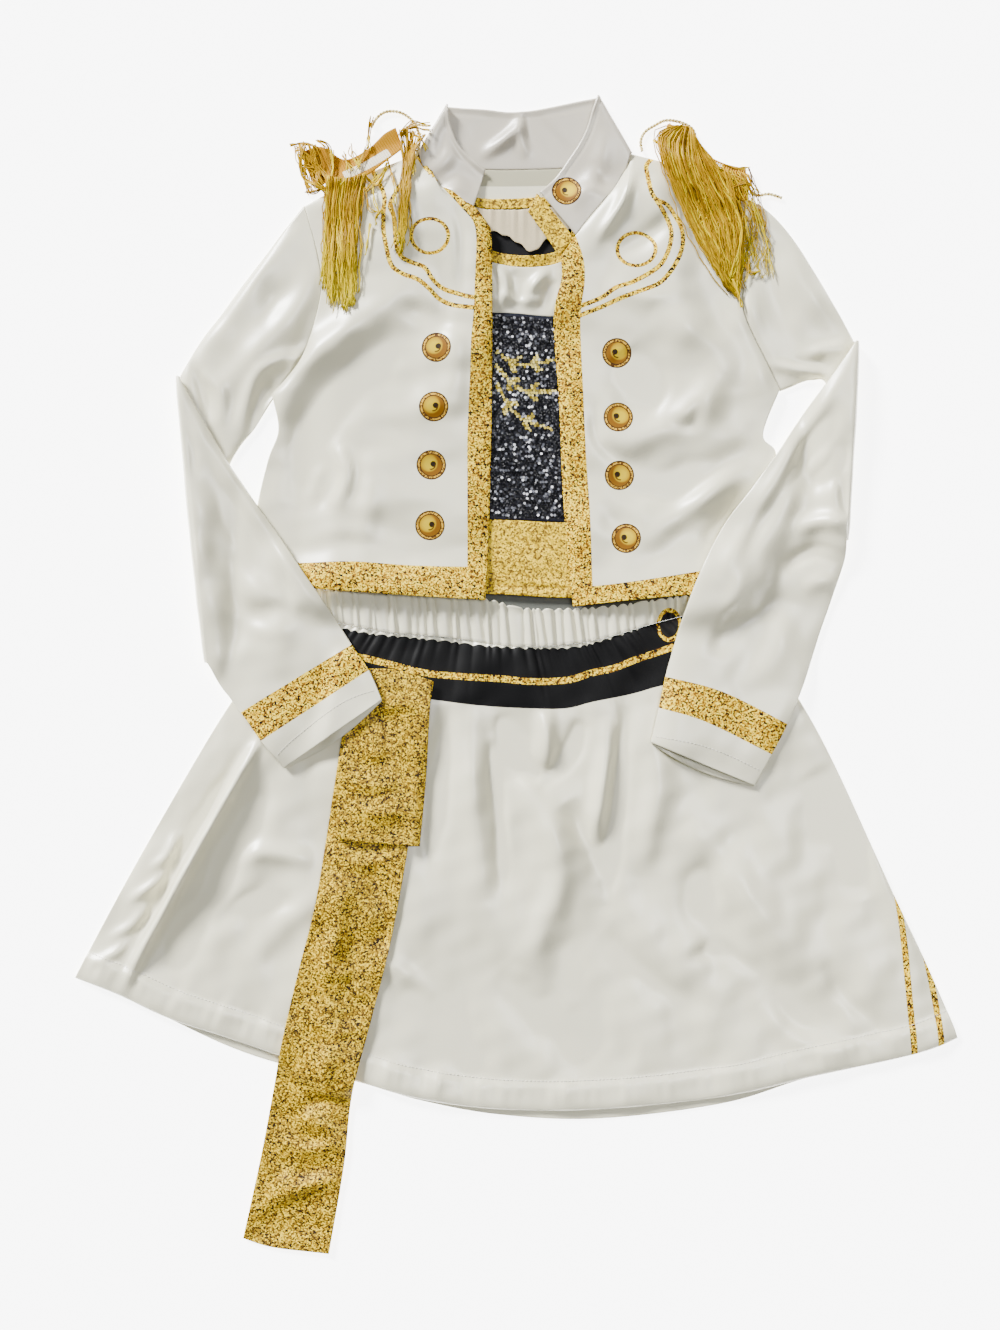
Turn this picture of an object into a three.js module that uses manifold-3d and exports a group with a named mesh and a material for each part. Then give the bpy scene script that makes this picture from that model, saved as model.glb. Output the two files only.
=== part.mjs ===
import * as THREE from "three";
import { mergeVertices } from "three/addons/utils/BufferGeometryUtils.js";
import Module from "manifold-3d";

// A child's marching band costume, laid flat with its front up: an open jacket with a stand collar
// and fringed epaulettes, a camisole under it, a flared skirt with a gathered waist, and its sash.
// Lengths are in millimetres. X runs to the wearer's left, Y to the neck and Z up from the surface
// that it lies on. Right and left are the wearer's.

// Driving sizes
const KNIT = 1.2;
const COLLAR_KNIT = 1.6;
const BOARD = 2.4;
const LAYER_GAP = 0.35;
const SEAM_INSET = 0.2;
const MITRE_LIMIT = -0.5;
const GATHERS = 45;
const GATHER_HEIGHT = 1.0;
const FOLD_PUFF = 1.8;
const FOLD_PUFF_REACH = 32;
const MOUTH_LAP = 6;
const ARMHOLE_BLEND = [1, 0.6, 0.25];
const BINDING_WIDTH = 9;
const TAPE_WIDTH = 5;
const STRAND_RADIUS = 0.6;
const STRAND_LAYER = 1.5;
const STRAND_UNEVEN = 0.07;
const CORD_RADIUS = 1.1;
const EDGE_BULGE = 1.9;

// Fineness of the walls
const SMOOTH_STEPS = 8;
const SIDE_CELLS = 6;
const SLEEVE_CELLS = 6;
const SHOULDER_CELLS = 5;
const COLLAR_CELLS = 3;
const NECK_CELLS = 10;
const STRAP_CELLS = 3;
const GATHER_SIDES = 4;
const TURN_STEPS = 5;
const STRAND_STEPS = 4;
const CORD_SIDES = 6;
const CORD_STEPS = 3;
const WELD = 1e-4;
const SMALLEST_AREA = 1e-9;

const WHITE = { color: 0xeeebe3, roughness: 0.55 };
const GOLD = { color: 0xb98a36, roughness: 0.5 };
const BLACK = { color: 0x17171b, roughness: 0.6 };
const YELLOW = { color: 0xe8b410, roughness: 0.45 };
const ORANGE = { color: 0xd98c12, roughness: 0.6 };

// A table is written as short rows under named columns.
function table(columns, rows) {
  return rows.map((row) => Object.fromEntries(columns.map((name, index) => [name, row[index]])));
}

// An outline's row is one point, and a 1 in its last column keeps a sharp corner there.
function outline(rows) {
  return table(["x", "y", "corner"], rows);
}

// Jacket outlines, from the hem up and from the wearer's right to left
const ARMHOLE_RIGHT = outline([
  [-189, 218],
  [-168, 243],
  [-158, 268],
  [-151, 299],
  [-153, 325],
  [-164, 365],
]);
const ARMHOLE_LEFT = outline([
  [206, 222],
  [195, 244],
  [179, 278],
  [176, 301],
  [177, 335],
  [189, 367],
]);
const SIDE_RIGHT = outline([
  [-197, 72],
  [-203, 101],
  [-200, 134],
  [-192, 168],
  [-184, 191],
  [-189, 218],
]);
const SIDE_LEFT = outline([
  [172, 65],
  [185, 101],
  [197, 136],
  [203, 172],
  [193, 187],
  [206, 222],
]);
const JACKET_BACK_HEM = outline([
  [-197, 72],
  [-12, 76],
  [172, 65],
]);
const SHOULDER_RIGHT = outline([
  [-164, 365],
  [-119, 389],
  [-75, 406],
]);
const SHOULDER_LEFT = outline([
  [90, 406],
  [140, 392],
  [189, 367],
]);
const FRONT_RIGHT_HEM = outline([
  [-197, 72],
  [-155, 67],
  [-90, 62],
  [-23, 58],
]);
const FRONT_RIGHT_EDGE = outline([
  [-23, 58],
  [-20, 122],
  [-18, 214],
  [-18, 335],
  [-23, 346],
  [-35, 354],
]);
const FRONT_LEFT_HEM = outline([
  [45, 53],
  [90, 58],
  [134, 62],
  [172, 65],
]);
const FRONT_LEFT_EDGE = outline([
  [45, 53],
  [41, 90],
  [37, 144],
  [34, 214],
  [30, 277],
  [36, 308],
  [35, 324],
]);
const FRONT_LEFT_BAND_TOP = outline([
  [35, 324],
  [47, 341],
]);

// Collar sections, each from the neck seam to the free edge: the right front, the back and the left front
const COLLAR_COLUMNS = ["seamX", "seamY", "edgeX", "edgeY"];
const COLLAR_RIGHT_FRONT = table(COLLAR_COLUMNS, [
  [-35, 354, -23, 393],
  [-46, 373, -34, 402],
  [-59, 380, -44, 413],
  [-69, 389, -51, 430],
  [-75, 406, -52, 443],
]);
const COLLAR_BACK = table(COLLAR_COLUMNS, [
  [-75, 406, -52, 443],
  [-62, 400, -40, 442],
  [-41, 395, -23, 441],
  [-20, 394, -5, 439],
  [4, 394, 12, 440],
  [35, 395, 29, 443],
  [66, 398, 48, 447],
  [90, 406, 64, 450],
]);
const COLLAR_LEFT_FRONT = table(COLLAR_COLUMNS, [
  [90, 406, 64, 450],
  [87, 395, 60, 439],
  [83, 388, 56, 426],
  [77, 378, 50, 414],
  [69, 368, 42, 402],
  [58, 355, 32, 388],
  [47, 341, 19, 375],
]);
// The gold band that turns up along the collar's left end
const COLLAR_BAND_LEFT = table(["outerX", "outerY", "innerX", "innerY"], [
  [34, 326, 46, 339],
  [23, 342, 32, 357],
  [10, 360, 17, 375],
]);

// Sleeve sections, from the armhole to the elbow's fold and from there to the cuff, each from the
// sleeve's outer fold to its underarm fold
const SLEEVE_COLUMNS = ["outerX", "outerY", "underX", "underY"];
const SLEEVE_RIGHT_UPPER = table(SLEEVE_COLUMNS, [
  [-164, 365, -189, 218],
  [-180, 345, -201, 195],
  [-197, 322, -214, 179],
  [-214, 300, -224, 160],
  [-230, 278, -231, 127],
  [-246, 257, -236, 78],
  [-261, 232, -239, 10],
]);
const SLEEVE_RIGHT_FORE = table(SLEEVE_COLUMNS, [
  [-261, 232, -239, 10],
  [-242, 198, -236, 5],
  [-222, 164, -234, 1],
  [-201, 133, -231, -5],
  [-183, 108, -227, -11],
  [-166, 83, -222, -17],
  [-148, 57, -217, -24],
  [-127, 24, -209, -34],
  [-113, 4, -196, -52],
  [-103, -19, -179, -72],
]);
const SLEEVE_LEFT_UPPER = table(SLEEVE_COLUMNS, [
  [189, 367, 206, 222],
  [204, 354, 214, 225],
  [218, 337, 223, 229],
  [231, 317, 232, 231],
  [243, 297, 243, 227],
  [254, 278, 252, 183],
  [264, 259, 257, 105],
]);
const SLEEVE_LEFT_FORE = table(SLEEVE_COLUMNS, [
  [264, 259, 257, 105],
  [246, 233, 257, 98],
  [225, 204, 256, 89],
  [204, 173, 253, 78],
  [182, 143, 249, 66],
  [163, 118, 244, 51],
  [148, 91, 238, 34],
  [136, 63, 231, 12],
  [127, 35, 222, -13],
  [117, 0, 210, -41],
  [111, -27, 199, -62],
  [105, -52, 186, -86],
]);

// Camisole outlines. The straps and sides run under the jacket.
const CAMISOLE_BACK_TOP = outline([
  [-101, 358],
  [-53, 374, 1],
  [-29, 364],
  [4, 363],
  [35, 366],
  [66, 377, 1],
  [109, 361],
]);
const CAMISOLE_BACK_HEM = outline([
  [-138, 66],
  [144, 65],
]);
const CAMISOLE_BACK_RIGHT = outline([
  [-138, 66],
  [-129, 136],
  [-133, 199],
  [-107, 278],
  [-101, 358],
]);
const CAMISOLE_BACK_LEFT = outline([
  [144, 65],
  [136, 136],
  [141, 199],
  [113, 278],
  [109, 361],
]);
const BACK_BINDING = table(["outerX", "outerY", "innerX", "innerY"], [
  [-52, 381, -49, 373],
  [-29, 372, -27, 364],
  [-8, 371, -8, 363],
  [12, 372, 12, 364],
  [35, 374, 35, 367],
  [65, 384, 62, 375],
]);
const BACK_FACING = table(["outerX", "outerY", "innerX", "innerY"], [
  [-49, 371, -44, 353],
  [-27, 363, -27, 348],
  [-8, 362, -8, 342],
  [4, 362, 4, 335],
  [14, 363, 14, 329],
  [25, 364, 25, 339],
  [35, 365, 40, 346],
  [62, 374, 57, 353],
]);
const NECKLINE = outline([
  [-53, 368],
  [-41, 346],
  [-30, 328],
  [-18, 321],
  [8, 317],
  [35, 321],
  [49, 335],
  [65, 370],
]);
const STRAP_RIGHT_TOP = outline([
  [-101, 358],
  [-53, 368],
]);
const STRAP_LEFT_TOP = outline([
  [65, 370],
  [109, 361],
]);
const YOKE_RIGHT = outline([
  [-116, 278],
  [-107, 316],
  [-101, 358],
]);
const YOKE_LEFT = outline([
  [119, 277],
  [113, 316],
  [109, 361],
]);
const YOKE_SEAM = outline([
  [-116, 278],
  [-20, 282],
  [31, 279],
  [119, 277],
]);
const SEQUIN_RIGHT = outline([
  [-129, 122],
  [-133, 199],
  [-116, 278],
]);
const SEQUIN_LEFT = outline([
  [136, 119],
  [141, 199],
  [119, 277],
]);
const SEQUIN_SEAM = outline([
  [-129, 122],
  [-20, 121],
  [38, 119],
  [136, 119],
]);
const HEM_BAND_RIGHT = outline([
  [-138, 65],
  [-129, 122],
]);
const HEM_BAND_LEFT = outline([
  [144, 62],
  [136, 119],
]);
const CAMISOLE_HEM = outline([
  [-138, 65],
  [-20, 63],
  [43, 60],
  [144, 62],
]);

// Skirt outlines
const WAIST_TOP = outline([
  [-166, 68],
  [-90, 63],
  [-26, 59],
  [4, 52],
  [35, 51],
  [80, 54],
  [154, 65],
]);
const WAIST_STITCHING = outline([
  [-163, 46],
  [-105, 34],
  [-52, 29],
  [2, 22],
  [58, 26],
  [108, 40],
  [155, 52],
]);
const WAIST_RIGHT_END = outline([
  [-163, 46],
  [-166, 68],
]);
const WAIST_LEFT_END = outline([
  [155, 52],
  [154, 65],
]);
const BACK_WAIST_TOP = outline([
  [-166, 68],
  [-90, 66],
  [4, 66],
  [98, 64],
  [154, 63],
]);
const BACK_WAIST_RIGHT_END = outline([
  [-163, 46],
  [-166, 68],
]);
const BACK_WAIST_LEFT_END = outline([
  [155, 52],
  [154, 63],
]);
const SKIRT_RIGHT = outline([
  [-343, -236],
  [-307, -168],
  [-257, -80],
  [-221, -21],
  [-191, 18],
  [-163, 46],
]);
const SKIRT_LEFT = outline([
  [345, -283],
  [339, -267],
  [317, -217],
  [295, -171],
  [251, -74],
  [222, -20],
  [193, 21],
  [155, 52],
]);
const SKIRT_FRONT_HEM = outline([
  [-343, -236],
  [-311, -248],
  [-270, -267],
  [-225, -282],
  [-184, -296],
  [-121, -317],
  [-73, -330],
  [-12, -338],
  [66, -338],
  [163, -328],
  [229, -313],
  [308, -296],
  [345, -283],
]);
const SKIRT_BACK_HEM = outline([
  [-343, -236],
  [-311, -248],
  [-270, -268],
  [-225, -289],
  [-184, -303],
  [-121, -318],
  [-73, -332],
  [-12, -343],
  [66, -346],
  [163, -334],
  [229, -314],
  [308, -296],
  [345, -283],
]);

// Sash outlines
const LONG_TAIL_RIGHT = outline([
  [-212, -439],
  [-197, -370],
  [-182, -290],
  [-168, -229],
  [-155, -178],
  [-145, -116],
  [-134, -47],
  [-124, 2],
]);
const LONG_TAIL_LEFT = outline([
  [-145, -451],
  [-133, -381],
  [-127, -328],
  [-111, -265],
  [-97, -209],
  [-83, -133],
  [-76, -66],
  [-68, -4],
]);
const LONG_TAIL_END = outline([
  [-212, -439],
  [-189, -446],
  [-145, -451],
]);
const LONG_TAIL_TOP = outline([
  [-124, 2],
  [-68, -4],
]);
const SHORT_TAIL_RIGHT = outline([
  [-139, -122],
  [-135, -74],
  [-131, -41],
  [-122, 5],
]);
const SHORT_TAIL_LEFT = outline([
  [-74, -133],
  [-69, -80],
  [-66, -27],
  [-63, -5],
]);
const SHORT_TAIL_END = outline([
  [-139, -122],
  [-132, -128],
  [-74, -133],
]);
const SHORT_TAIL_TOP = outline([
  [-122, 5],
  [-91, 4],
  [-63, -5],
]);

// The largest folds: a soft ridge along each line
const FOLD_COLUMNS = ["x0", "y0", "x1", "y1", "wide", "high"];
const SKIRT_FOLDS = table(FOLD_COLUMNS, [
  [-193, -35, -324, -261, 11, 6],
  [-47, 20, -58, -144, 10, 3],
  [-8, 16, -4, -98, 9, 2.6],
  [35, 16, 55, -176, 12, 3],
  [144, 27, 285, -254, 16, 4],
  [98, -20, 144, -261, 18, 3],
  [-144, -144, -207, -269, 14, 3],
]);
const FRONT_RIGHT_FOLDS = table(FOLD_COLUMNS, [
  [-168, 230, -90, 269, 14, 3],
  [-176, 160, -90, 90, 14, 2.6],
  [-144, 347, -127, 269, 9, 2.4],
]);
const FRONT_LEFT_FOLDS = table(FOLD_COLUMNS, [
  [191, 238, 113, 285, 14, 3],
  [179, 160, 105, 105, 14, 2.6],
]);
const UPPER_RIGHT_FOLDS = table(FOLD_COLUMNS, [
  [-168, 332, -218, 214, 12, 2.6],
  [-179, 230, -226, 269, 8, 2],
]);
const UPPER_LEFT_FOLDS = table(FOLD_COLUMNS, [
  [195, 339, 242, 261, 12, 2.6],
]);
const FORE_RIGHT_FOLDS = table(FOLD_COLUMNS, [
  [-242, 160, -207, 27, 13, 3],
  [-218, 121, -144, 12, 12, 2.4],
]);
const FORE_LEFT_FOLDS = table(FOLD_COLUMNS, [
  [250, 199, 214, 43, 13, 3],
  [258, 121, 199, 109, 9, 2.4],
  [199, 90, 156, -20, 12, 2.2],
]);
const TAIL_FOLDS = table(FOLD_COLUMNS, [
  [-129, -152, -152, -324, 9, 2.4],
  [-183, -410, -129, -370, 8, 2.2],
]);

// Epaulettes: the boards, the fringe's tapes and the guides that its strands run between, and the cords
const BOARD_RIGHT = table(["outerX", "outerY", "innerX", "innerY"], [
  [-168, 407, -155, 378],
  [-151, 412, -146, 383],
  [-133, 402, -132, 383],
  [-115, 410, -115, 388],
  [-102, 422, -97, 402],
  [-93, 427, -87, 410],
]);
const BOARD_LEFT = table(["outerX", "outerY", "innerX", "innerY"], [
  [119, 430, 112, 408],
  [136, 424, 126, 392],
  [147, 408, 140, 377],
  [163, 399, 154, 366],
  [180, 395, 182, 370],
]);
const RIBBON_COLUMNS = ["x", "y"];
const GUIDE_COLUMNS = ["rootX", "rootY", "kneeX", "kneeY", "middleX", "middleY", "tipX", "tipY"];
const FRINGES = [
  {
    name: "epaulette_right_fringe",
    tape: table(RIBBON_COLUMNS, [
      [-148, 384],
      [-140, 381],
      [-130, 380],
      [-121, 381],
      [-111, 387],
    ]),
    guides: table(GUIDE_COLUMNS, [
      [-147, 383, -147, 359, -147, 332, -151, 303],
      [-138, 381, -140, 355, -141, 320, -142, 286],
      [-129, 380, -133, 353, -133, 317, -133, 284],
      [-121, 381, -126, 353, -127, 317, -128, 284],
      [-112, 386, -119, 355, -121, 322, -122, 289],
    ]),
    strands: 16,
    layers: 3,
  },
  {
    name: "epaulette_right_neck_fringe",
    tape: table(RIBBON_COLUMNS, [
      [-90, 424],
      [-83, 424],
      [-74, 422],
    ]),
    guides: table(GUIDE_COLUMNS, [
      [-89, 424, -88, 402, -90, 363, -93, 327],
      [-75, 422, -79, 398, -83, 361, -86, 324],
    ]),
    strands: 6,
    layers: 2,
  },
  {
    name: "epaulette_right_end_fringe",
    tape: table(RIBBON_COLUMNS, [
      [-172, 412],
      [-163, 413],
      [-153, 410],
    ]),
    guides: table(GUIDE_COLUMNS, [
      [-171, 411, -169, 402, -165, 388, -161, 376],
      [-154, 410, -153, 400, -151, 388, -149, 378],
    ]),
    strands: 8,
    layers: 2,
  },
  {
    name: "epaulette_left_fringe",
    tape: table(RIBBON_COLUMNS, [
      [113, 410],
      [109, 418],
      [112, 426],
      [120, 429],
      [131, 426],
      [141, 415],
    ]),
    guides: table(GUIDE_COLUMNS, [
      [112, 413, 122, 382, 138, 345, 165, 300],
      [110, 419, 132, 381, 147, 346, 170, 291],
      [115, 427, 141, 385, 157, 349, 175, 285],
      [126, 427, 151, 388, 167, 352, 179, 292],
      [140, 417, 162, 386, 177, 353, 183, 305],
    ]),
    strands: 11,
    layers: 3,
  },
  {
    name: "epaulette_left_end_fringe",
    tape: table(RIBBON_COLUMNS, [
      [161, 397],
      [172, 395],
      [188, 392],
    ]),
    guides: table(GUIDE_COLUMNS, [
      [163, 396, 167, 374, 171, 351, 174, 328],
      [176, 394, 182, 370, 183, 339, 182, 306],
      [186, 392, 193, 367, 198, 339, 202, 307],
    ]),
    strands: 10,
    layers: 2,
  },
];
const CORDS = [
  {
    name: "epaulette_right_cord",
    route: table(RIBBON_COLUMNS, [
      [-101, 411],
      [-107, 424],
      [-103, 434],
      [-94, 438],
      [-87, 434],
      [-89, 419],
    ]),
  },
  {
    name: "epaulette_left_cord",
    route: table(RIBBON_COLUMNS, [
      [99, 407],
      [100, 419],
      [105, 427],
      [113, 434],
      [127, 434],
      [136, 428],
      [139, 419],
    ]),
  },
  {
    name: "epaulette_left_cord_end",
    route: table(RIBBON_COLUMNS, [
      [177, 386],
      [188, 382],
      [197, 378],
      [208, 371],
    ]),
  },
];

// Outlines to points

// The line through an outline's points, smooth between its corners
function smoothLine(points) {
  const line = [];
  let stretch = [];
  points.forEach((point, index) => {
    stretch.push(new THREE.Vector2(point.x, point.y));
    const ends = point.corner || index === points.length - 1;
    if (ends && stretch.length > 1) {
      const smooth = new THREE.SplineCurve(stretch).getPoints(stretch.length * SMOOTH_STEPS);
      line.push(...(line.length ? smooth.slice(1) : smooth));
      stretch = [stretch.at(-1)];
    }
  });
  return line;
}

// The outline's points at even lengths, with the nearest one moved onto each corner
function evenPoints(points, cells) {
  const line = smoothLine(points);
  const lengths = [0];
  for (let index = 1; index < line.length; index++) {
    lengths.push(lengths[index - 1] + line[index].distanceTo(line[index - 1]));
  }
  const total = lengths.at(-1);
  const even = [];
  let at = 1;
  for (let index = 0; index <= cells; index++) {
    const wanted = (total * index) / cells;
    while (at < line.length - 1 && lengths[at] < wanted) at++;
    const share = (wanted - lengths[at - 1]) / (lengths[at] - lengths[at - 1]);
    even.push(line[at - 1].clone().lerp(line[at], Math.min(share, 1)));
  }
  for (const corner of points.filter((point) => point.corner)) {
    const place = new THREE.Vector2(corner.x, corner.y);
    const nearer = (best, point) => (point.distanceTo(place) < best.distanceTo(place) ? point : best);
    even.reduce(nearer).copy(place);
  }
  return even;
}

function join(...stretches) {
  const points = stretches.flatMap((stretch, index) => (index ? stretch.slice(1) : stretch));
  return points.map((point) => point.clone());
}

// A panel's plan between its four edges, as rows from its bottom edge to its top edge
function plan(bottom, top, right, left) {
  const along = right.length - 1;
  const across = bottom.length - 1;
  const rows = [];
  for (let row = 0; row <= along; row++) {
    const v = row / along;
    const points = [];
    for (let column = 0; column <= across; column++) {
      const u = column / across;
      const point = new THREE.Vector2();
      point.addScaledVector(bottom[column], 1 - v).addScaledVector(top[column], v);
      point.addScaledVector(right[row], 1 - u).addScaledVector(left[row], u);
      point.addScaledVector(bottom[0], -(1 - u) * (1 - v)).addScaledVector(bottom[across], -u * (1 - v));
      point.addScaledVector(top[0], -(1 - u) * v).addScaledVector(top[across], -u * v);
      points.push(point);
    }
    rows.push(points);
  }
  return rows;
}

// Moves an edge of a plan inwards, so that two panels stay apart at their seam
function insetEdge(edge, inner) {
  const last = edge.length - 1;
  const normal = (index) => {
    const along = edge[index + 1].clone().sub(edge[index]).normalize();
    return new THREE.Vector2(-along.y, along.x);
  };
  const moved = edge.map((point, index) => {
    const before = normal(Math.max(index - 1, 0));
    const after = normal(Math.min(index, last - 1));
    const inward = before.clone().add(after).divideScalar(1 + Math.max(before.dot(after), MITRE_LIMIT));
    if (inward.dot(inner[index].clone().sub(point)) < 0) inward.negate();
    return point.clone().addScaledVector(inward, SEAM_INSET);
  });
  edge.forEach((point, index) => point.copy(moved[index]));
}

function inset(rows) {
  const column = (index) => rows.map((row) => row.at(index));
  insetEdge(rows[0], rows[1]);
  insetEdge(rows.at(-1), rows.at(-2));
  insetEdge(column(0), column(1));
  insetEdge(column(-1), column(-2));
  return rows;
}

// A plan of sections, each a straight line between two named points, split into even cells
function sectionPlan(sections, start, end, cells) {
  return sections.map((section) => {
    const from = new THREE.Vector2(section[`${start}X`], section[`${start}Y`]);
    const to = new THREE.Vector2(section[`${end}X`], section[`${end}Y`]);
    return Array.from({ length: cells + 1 }, (unused, index) => from.clone().lerp(to, index / cells));
  });
}

// The stack of cloth that is already laid, as its height over a grid of small cells
const CELL = 4;
const STACK_HALF_X = 380;
const STACK_HALF_Y = 490;
const STACK_COLUMNS = Math.ceil((2 * STACK_HALF_X) / CELL);
const STACK_ROWS = Math.ceil((2 * STACK_HALF_Y) / CELL);
const stack = new Float64Array(STACK_COLUMNS * STACK_ROWS);

function raise(x, y, height) {
  const column = Math.floor((x + STACK_HALF_X) / CELL);
  const row = Math.floor((y + STACK_HALF_Y) / CELL);
  const at = row * STACK_COLUMNS + column;
  stack[at] = Math.max(stack[at], height);
}

function highest(x, y, reach) {
  const cells = Math.ceil(reach / CELL);
  const column = Math.floor((x + STACK_HALF_X) / CELL);
  const row = Math.floor((y + STACK_HALF_Y) / CELL);
  let height = 0;
  for (let dy = -cells; dy <= cells; dy++) {
    for (let dx = -cells; dx <= cells; dx++) {
      const near = Math.hypot(Math.max(Math.abs(dx) - 1, 0), Math.max(Math.abs(dy) - 1, 0)) * CELL < reach;
      if (near) height = Math.max(height, stack[(row + dy) * STACK_COLUMNS + column + dx] ?? 0);
    }
  }
  return height;
}

function resting(x, y, reach) {
  const below = highest(x, y, reach);
  return below > 0 ? below + LAYER_GAP : 0;
}

// The heights at which a thin line rests, so that its straight stretches clear what is below
function restAlong(places) {
  const stretches = places.slice(1).map((end, index) => {
    const steps = Math.ceil((2 * end.distanceTo(places[index])) / CELL);
    const heights = [];
    for (let step = 0; step <= steps; step++) {
      const point = places[index].clone().lerp(end, step / steps);
      heights.push(resting(point.x, point.y, CELL / 2));
    }
    return Math.max(...heights);
  });
  return places.map((unused, index) => Math.max(stretches[index - 1] ?? 0, stretches[index] ?? 0));
}

function coverTriangle(a, b, c, thickness) {
  for (const point of [a, b, c]) raise(point.x, point.y, point.z + thickness);
  const area = (b.x - a.x) * (c.y - a.y) - (c.x - a.x) * (b.y - a.y);
  if (Math.abs(area) < SMALLEST_AREA) return;
  const first = (value, half) => (Math.floor((value + half) / CELL) + 0.5) * CELL - half;
  for (let y = first(Math.min(a.y, b.y, c.y), STACK_HALF_Y); y <= Math.max(a.y, b.y, c.y); y += CELL) {
    for (let x = first(Math.min(a.x, b.x, c.x), STACK_HALF_X); x <= Math.max(a.x, b.x, c.x); x += CELL) {
      const u = ((x - a.x) * (c.y - a.y) - (c.x - a.x) * (y - a.y)) / area;
      const v = ((b.x - a.x) * (y - a.y) - (x - a.x) * (b.y - a.y)) / area;
      if (u >= 0 && v >= 0 && u + v <= 1) raise(x, y, a.z + u * (b.z - a.z) + v * (c.z - a.z) + thickness);
    }
  }
}

function cover(layer) {
  const { rows, cloth } = layer;
  for (let row = 0; row < rows.length - 1; row++) {
    for (let column = 0; column < rows[row].length - 1; column++) {
      const [a, b] = [rows[row][column], rows[row][column + 1]];
      const [c, d] = [rows[row + 1][column], rows[row + 1][column + 1]];
      coverTriangle(a, b, d, cloth);
      coverTriangle(a, d, c, cloth);
    }
  }
}

// The height of a layer's soft ridges at a point
function foldHeight(folds, x, y) {
  return folds.reduce((sum, fold) => {
    const [dx, dy] = [fold.x1 - fold.x0, fold.y1 - fold.y0];
    const along = ((x - fold.x0) * dx + (y - fold.y0) * dy) / (dx * dx + dy * dy);
    if (along <= 0 || along >= 1) return sum;
    const away = Math.hypot(x - fold.x0 - along * dx, y - fold.y0 - along * dy);
    const taper = Math.sqrt(4 * along * (1 - along));
    return sum + fold.high * taper * Math.exp(-((away / fold.wide) ** 2));
  }, 0);
}

// A layer of cloth: its plan, and what lifts it above the cloth it lies on
function layer(planRows, { cloth = KNIT, folds = [], lift = () => 0 } = {}) {
  const rows = planRows.map((row) => row.map((point) => new THREE.Vector3(point.x, point.y, 0)));
  let longest = 0;
  for (let row = 1; row < rows.length; row++) {
    for (let column = 1; column < rows[row].length; column++) {
      const corner = rows[row][column];
      const others = [rows[row - 1][column], rows[row][column - 1], rows[row - 1][column - 1]];
      longest = Math.max(longest, ...others.map((other) => corner.distanceTo(other)));
    }
  }
  return { rows, cloth, folds, lift, reach: longest + CELL };
}

// Lays the layers side by side on the stack, and then adds them to it
function lay(...layers) {
  for (const { rows, folds, lift, reach } of layers) {
    rows.forEach((row, rowIndex) => {
      row.forEach((point, column) => {
        point.z = resting(point.x, point.y, reach);
        point.z += foldHeight(folds, point.x, point.y) + lift(rowIndex, column);
      });
    });
  }
  layers.forEach(cover);
}

// Surfaces to closed walls

function orient(positions, triangles) {
  const at = (index) => new THREE.Vector3().fromArray(positions, 3 * index);
  let volume = 0;
  for (const [a, b, c] of triangles) volume += at(a).dot(at(b).cross(at(c)));
  return volume < 0 ? triangles.map(([a, b, c]) => [a, c, b]) : triangles;
}

function geometryOf(points, triangles) {
  const positions = points.flatMap((point) => [point.x, point.y, point.z]);
  const geometry = new THREE.BufferGeometry();
  geometry.setAttribute("position", new THREE.Float32BufferAttribute(positions, 3));
  geometry.setIndex(orient(positions, triangles).flat());
  return geometry;
}

// The closed wall between two like grids of points. A ringed wall's rows close on themselves.
function wall(outer, inner, ringed = false) {
  const width = outer[0].length;
  const height = outer.length;
  const points = [...outer.flat(), ...inner.flat()];
  const innerStart = width * height;
  const triangles = [];
  const quad = (a, b, c, d) => triangles.push([a, b, c], [a, c, d]);
  const at = (row, column) => row * width + (column % width);
  const columns = ringed ? width : width - 1;
  for (let row = 0; row < height - 1; row++) {
    for (let column = 0; column < columns; column++) {
      const corners = [at(row, column), at(row, column + 1), at(row + 1, column + 1), at(row + 1, column)];
      quad(...corners);
      quad(...corners.map((corner) => corner + innerStart).reverse());
    }
  }
  const rim = (from, to) => quad(to, from, from + innerStart, to + innerStart);
  for (let column = 0; column < columns; column++) {
    rim(at(0, column), at(0, column + 1));
    rim(at(height - 1, column + 1), at(height - 1, column));
  }
  if (!ringed) {
    for (let row = 0; row < height - 1; row++) {
      rim(at(row + 1, 0), at(row, 0));
      rim(at(row, width - 1), at(row + 1, width - 1));
    }
  }
  return geometryOf(points, triangles);
}

const costume = new THREE.Group();

function add(name, finish, geometry) {
  const mesh = new THREE.Mesh(geometry, new THREE.MeshStandardMaterial({ ...finish, metalness: 0 }));
  mesh.name = name;
  costume.add(mesh);
}

const raised = (row, by) => row.map((point) => new THREE.Vector3(point.x, point.y, point.z + by));
const lifted = (rows, by) => rows.map((row) => raised(row, by));

function addPanel(name, finish, laid) {
  add(name, finish, wall(lifted(laid.rows, laid.cloth), laid.rows));
}

// A surface point as it goes round a fold, from its low height to its high one
function turned(low, high, angle, outward) {
  const radius = (high.z - low.z) / 2;
  const point = low.clone().lerp(high, 0.5);
  point.z -= radius * Math.cos(angle);
  return point.addScaledVector(outward, radius * Math.sin(angle));
}

// The level direction away from a fold's line, on the side away from the cloth
function awayFromFold(foldRow, innerRow) {
  const along = foldRow.at(-1).clone().sub(foldRow[0]);
  const outward = new THREE.Vector3(-along.y, along.x, 0).normalize();
  const middle = Math.floor(innerRow.length / 2);
  const inner = innerRow[middle].clone().sub(foldRow[middle]);
  return inner.dot(outward) > 0 ? outward.negate() : outward;
}

const turnAngles = [];
for (let step = 1; step < TURN_STEPS; step++) turnAngles.push((Math.PI * step) / TURN_STEPS);

// A sleeve: a flattened tube whose forearm is folded over its upper arm at the elbow

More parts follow.
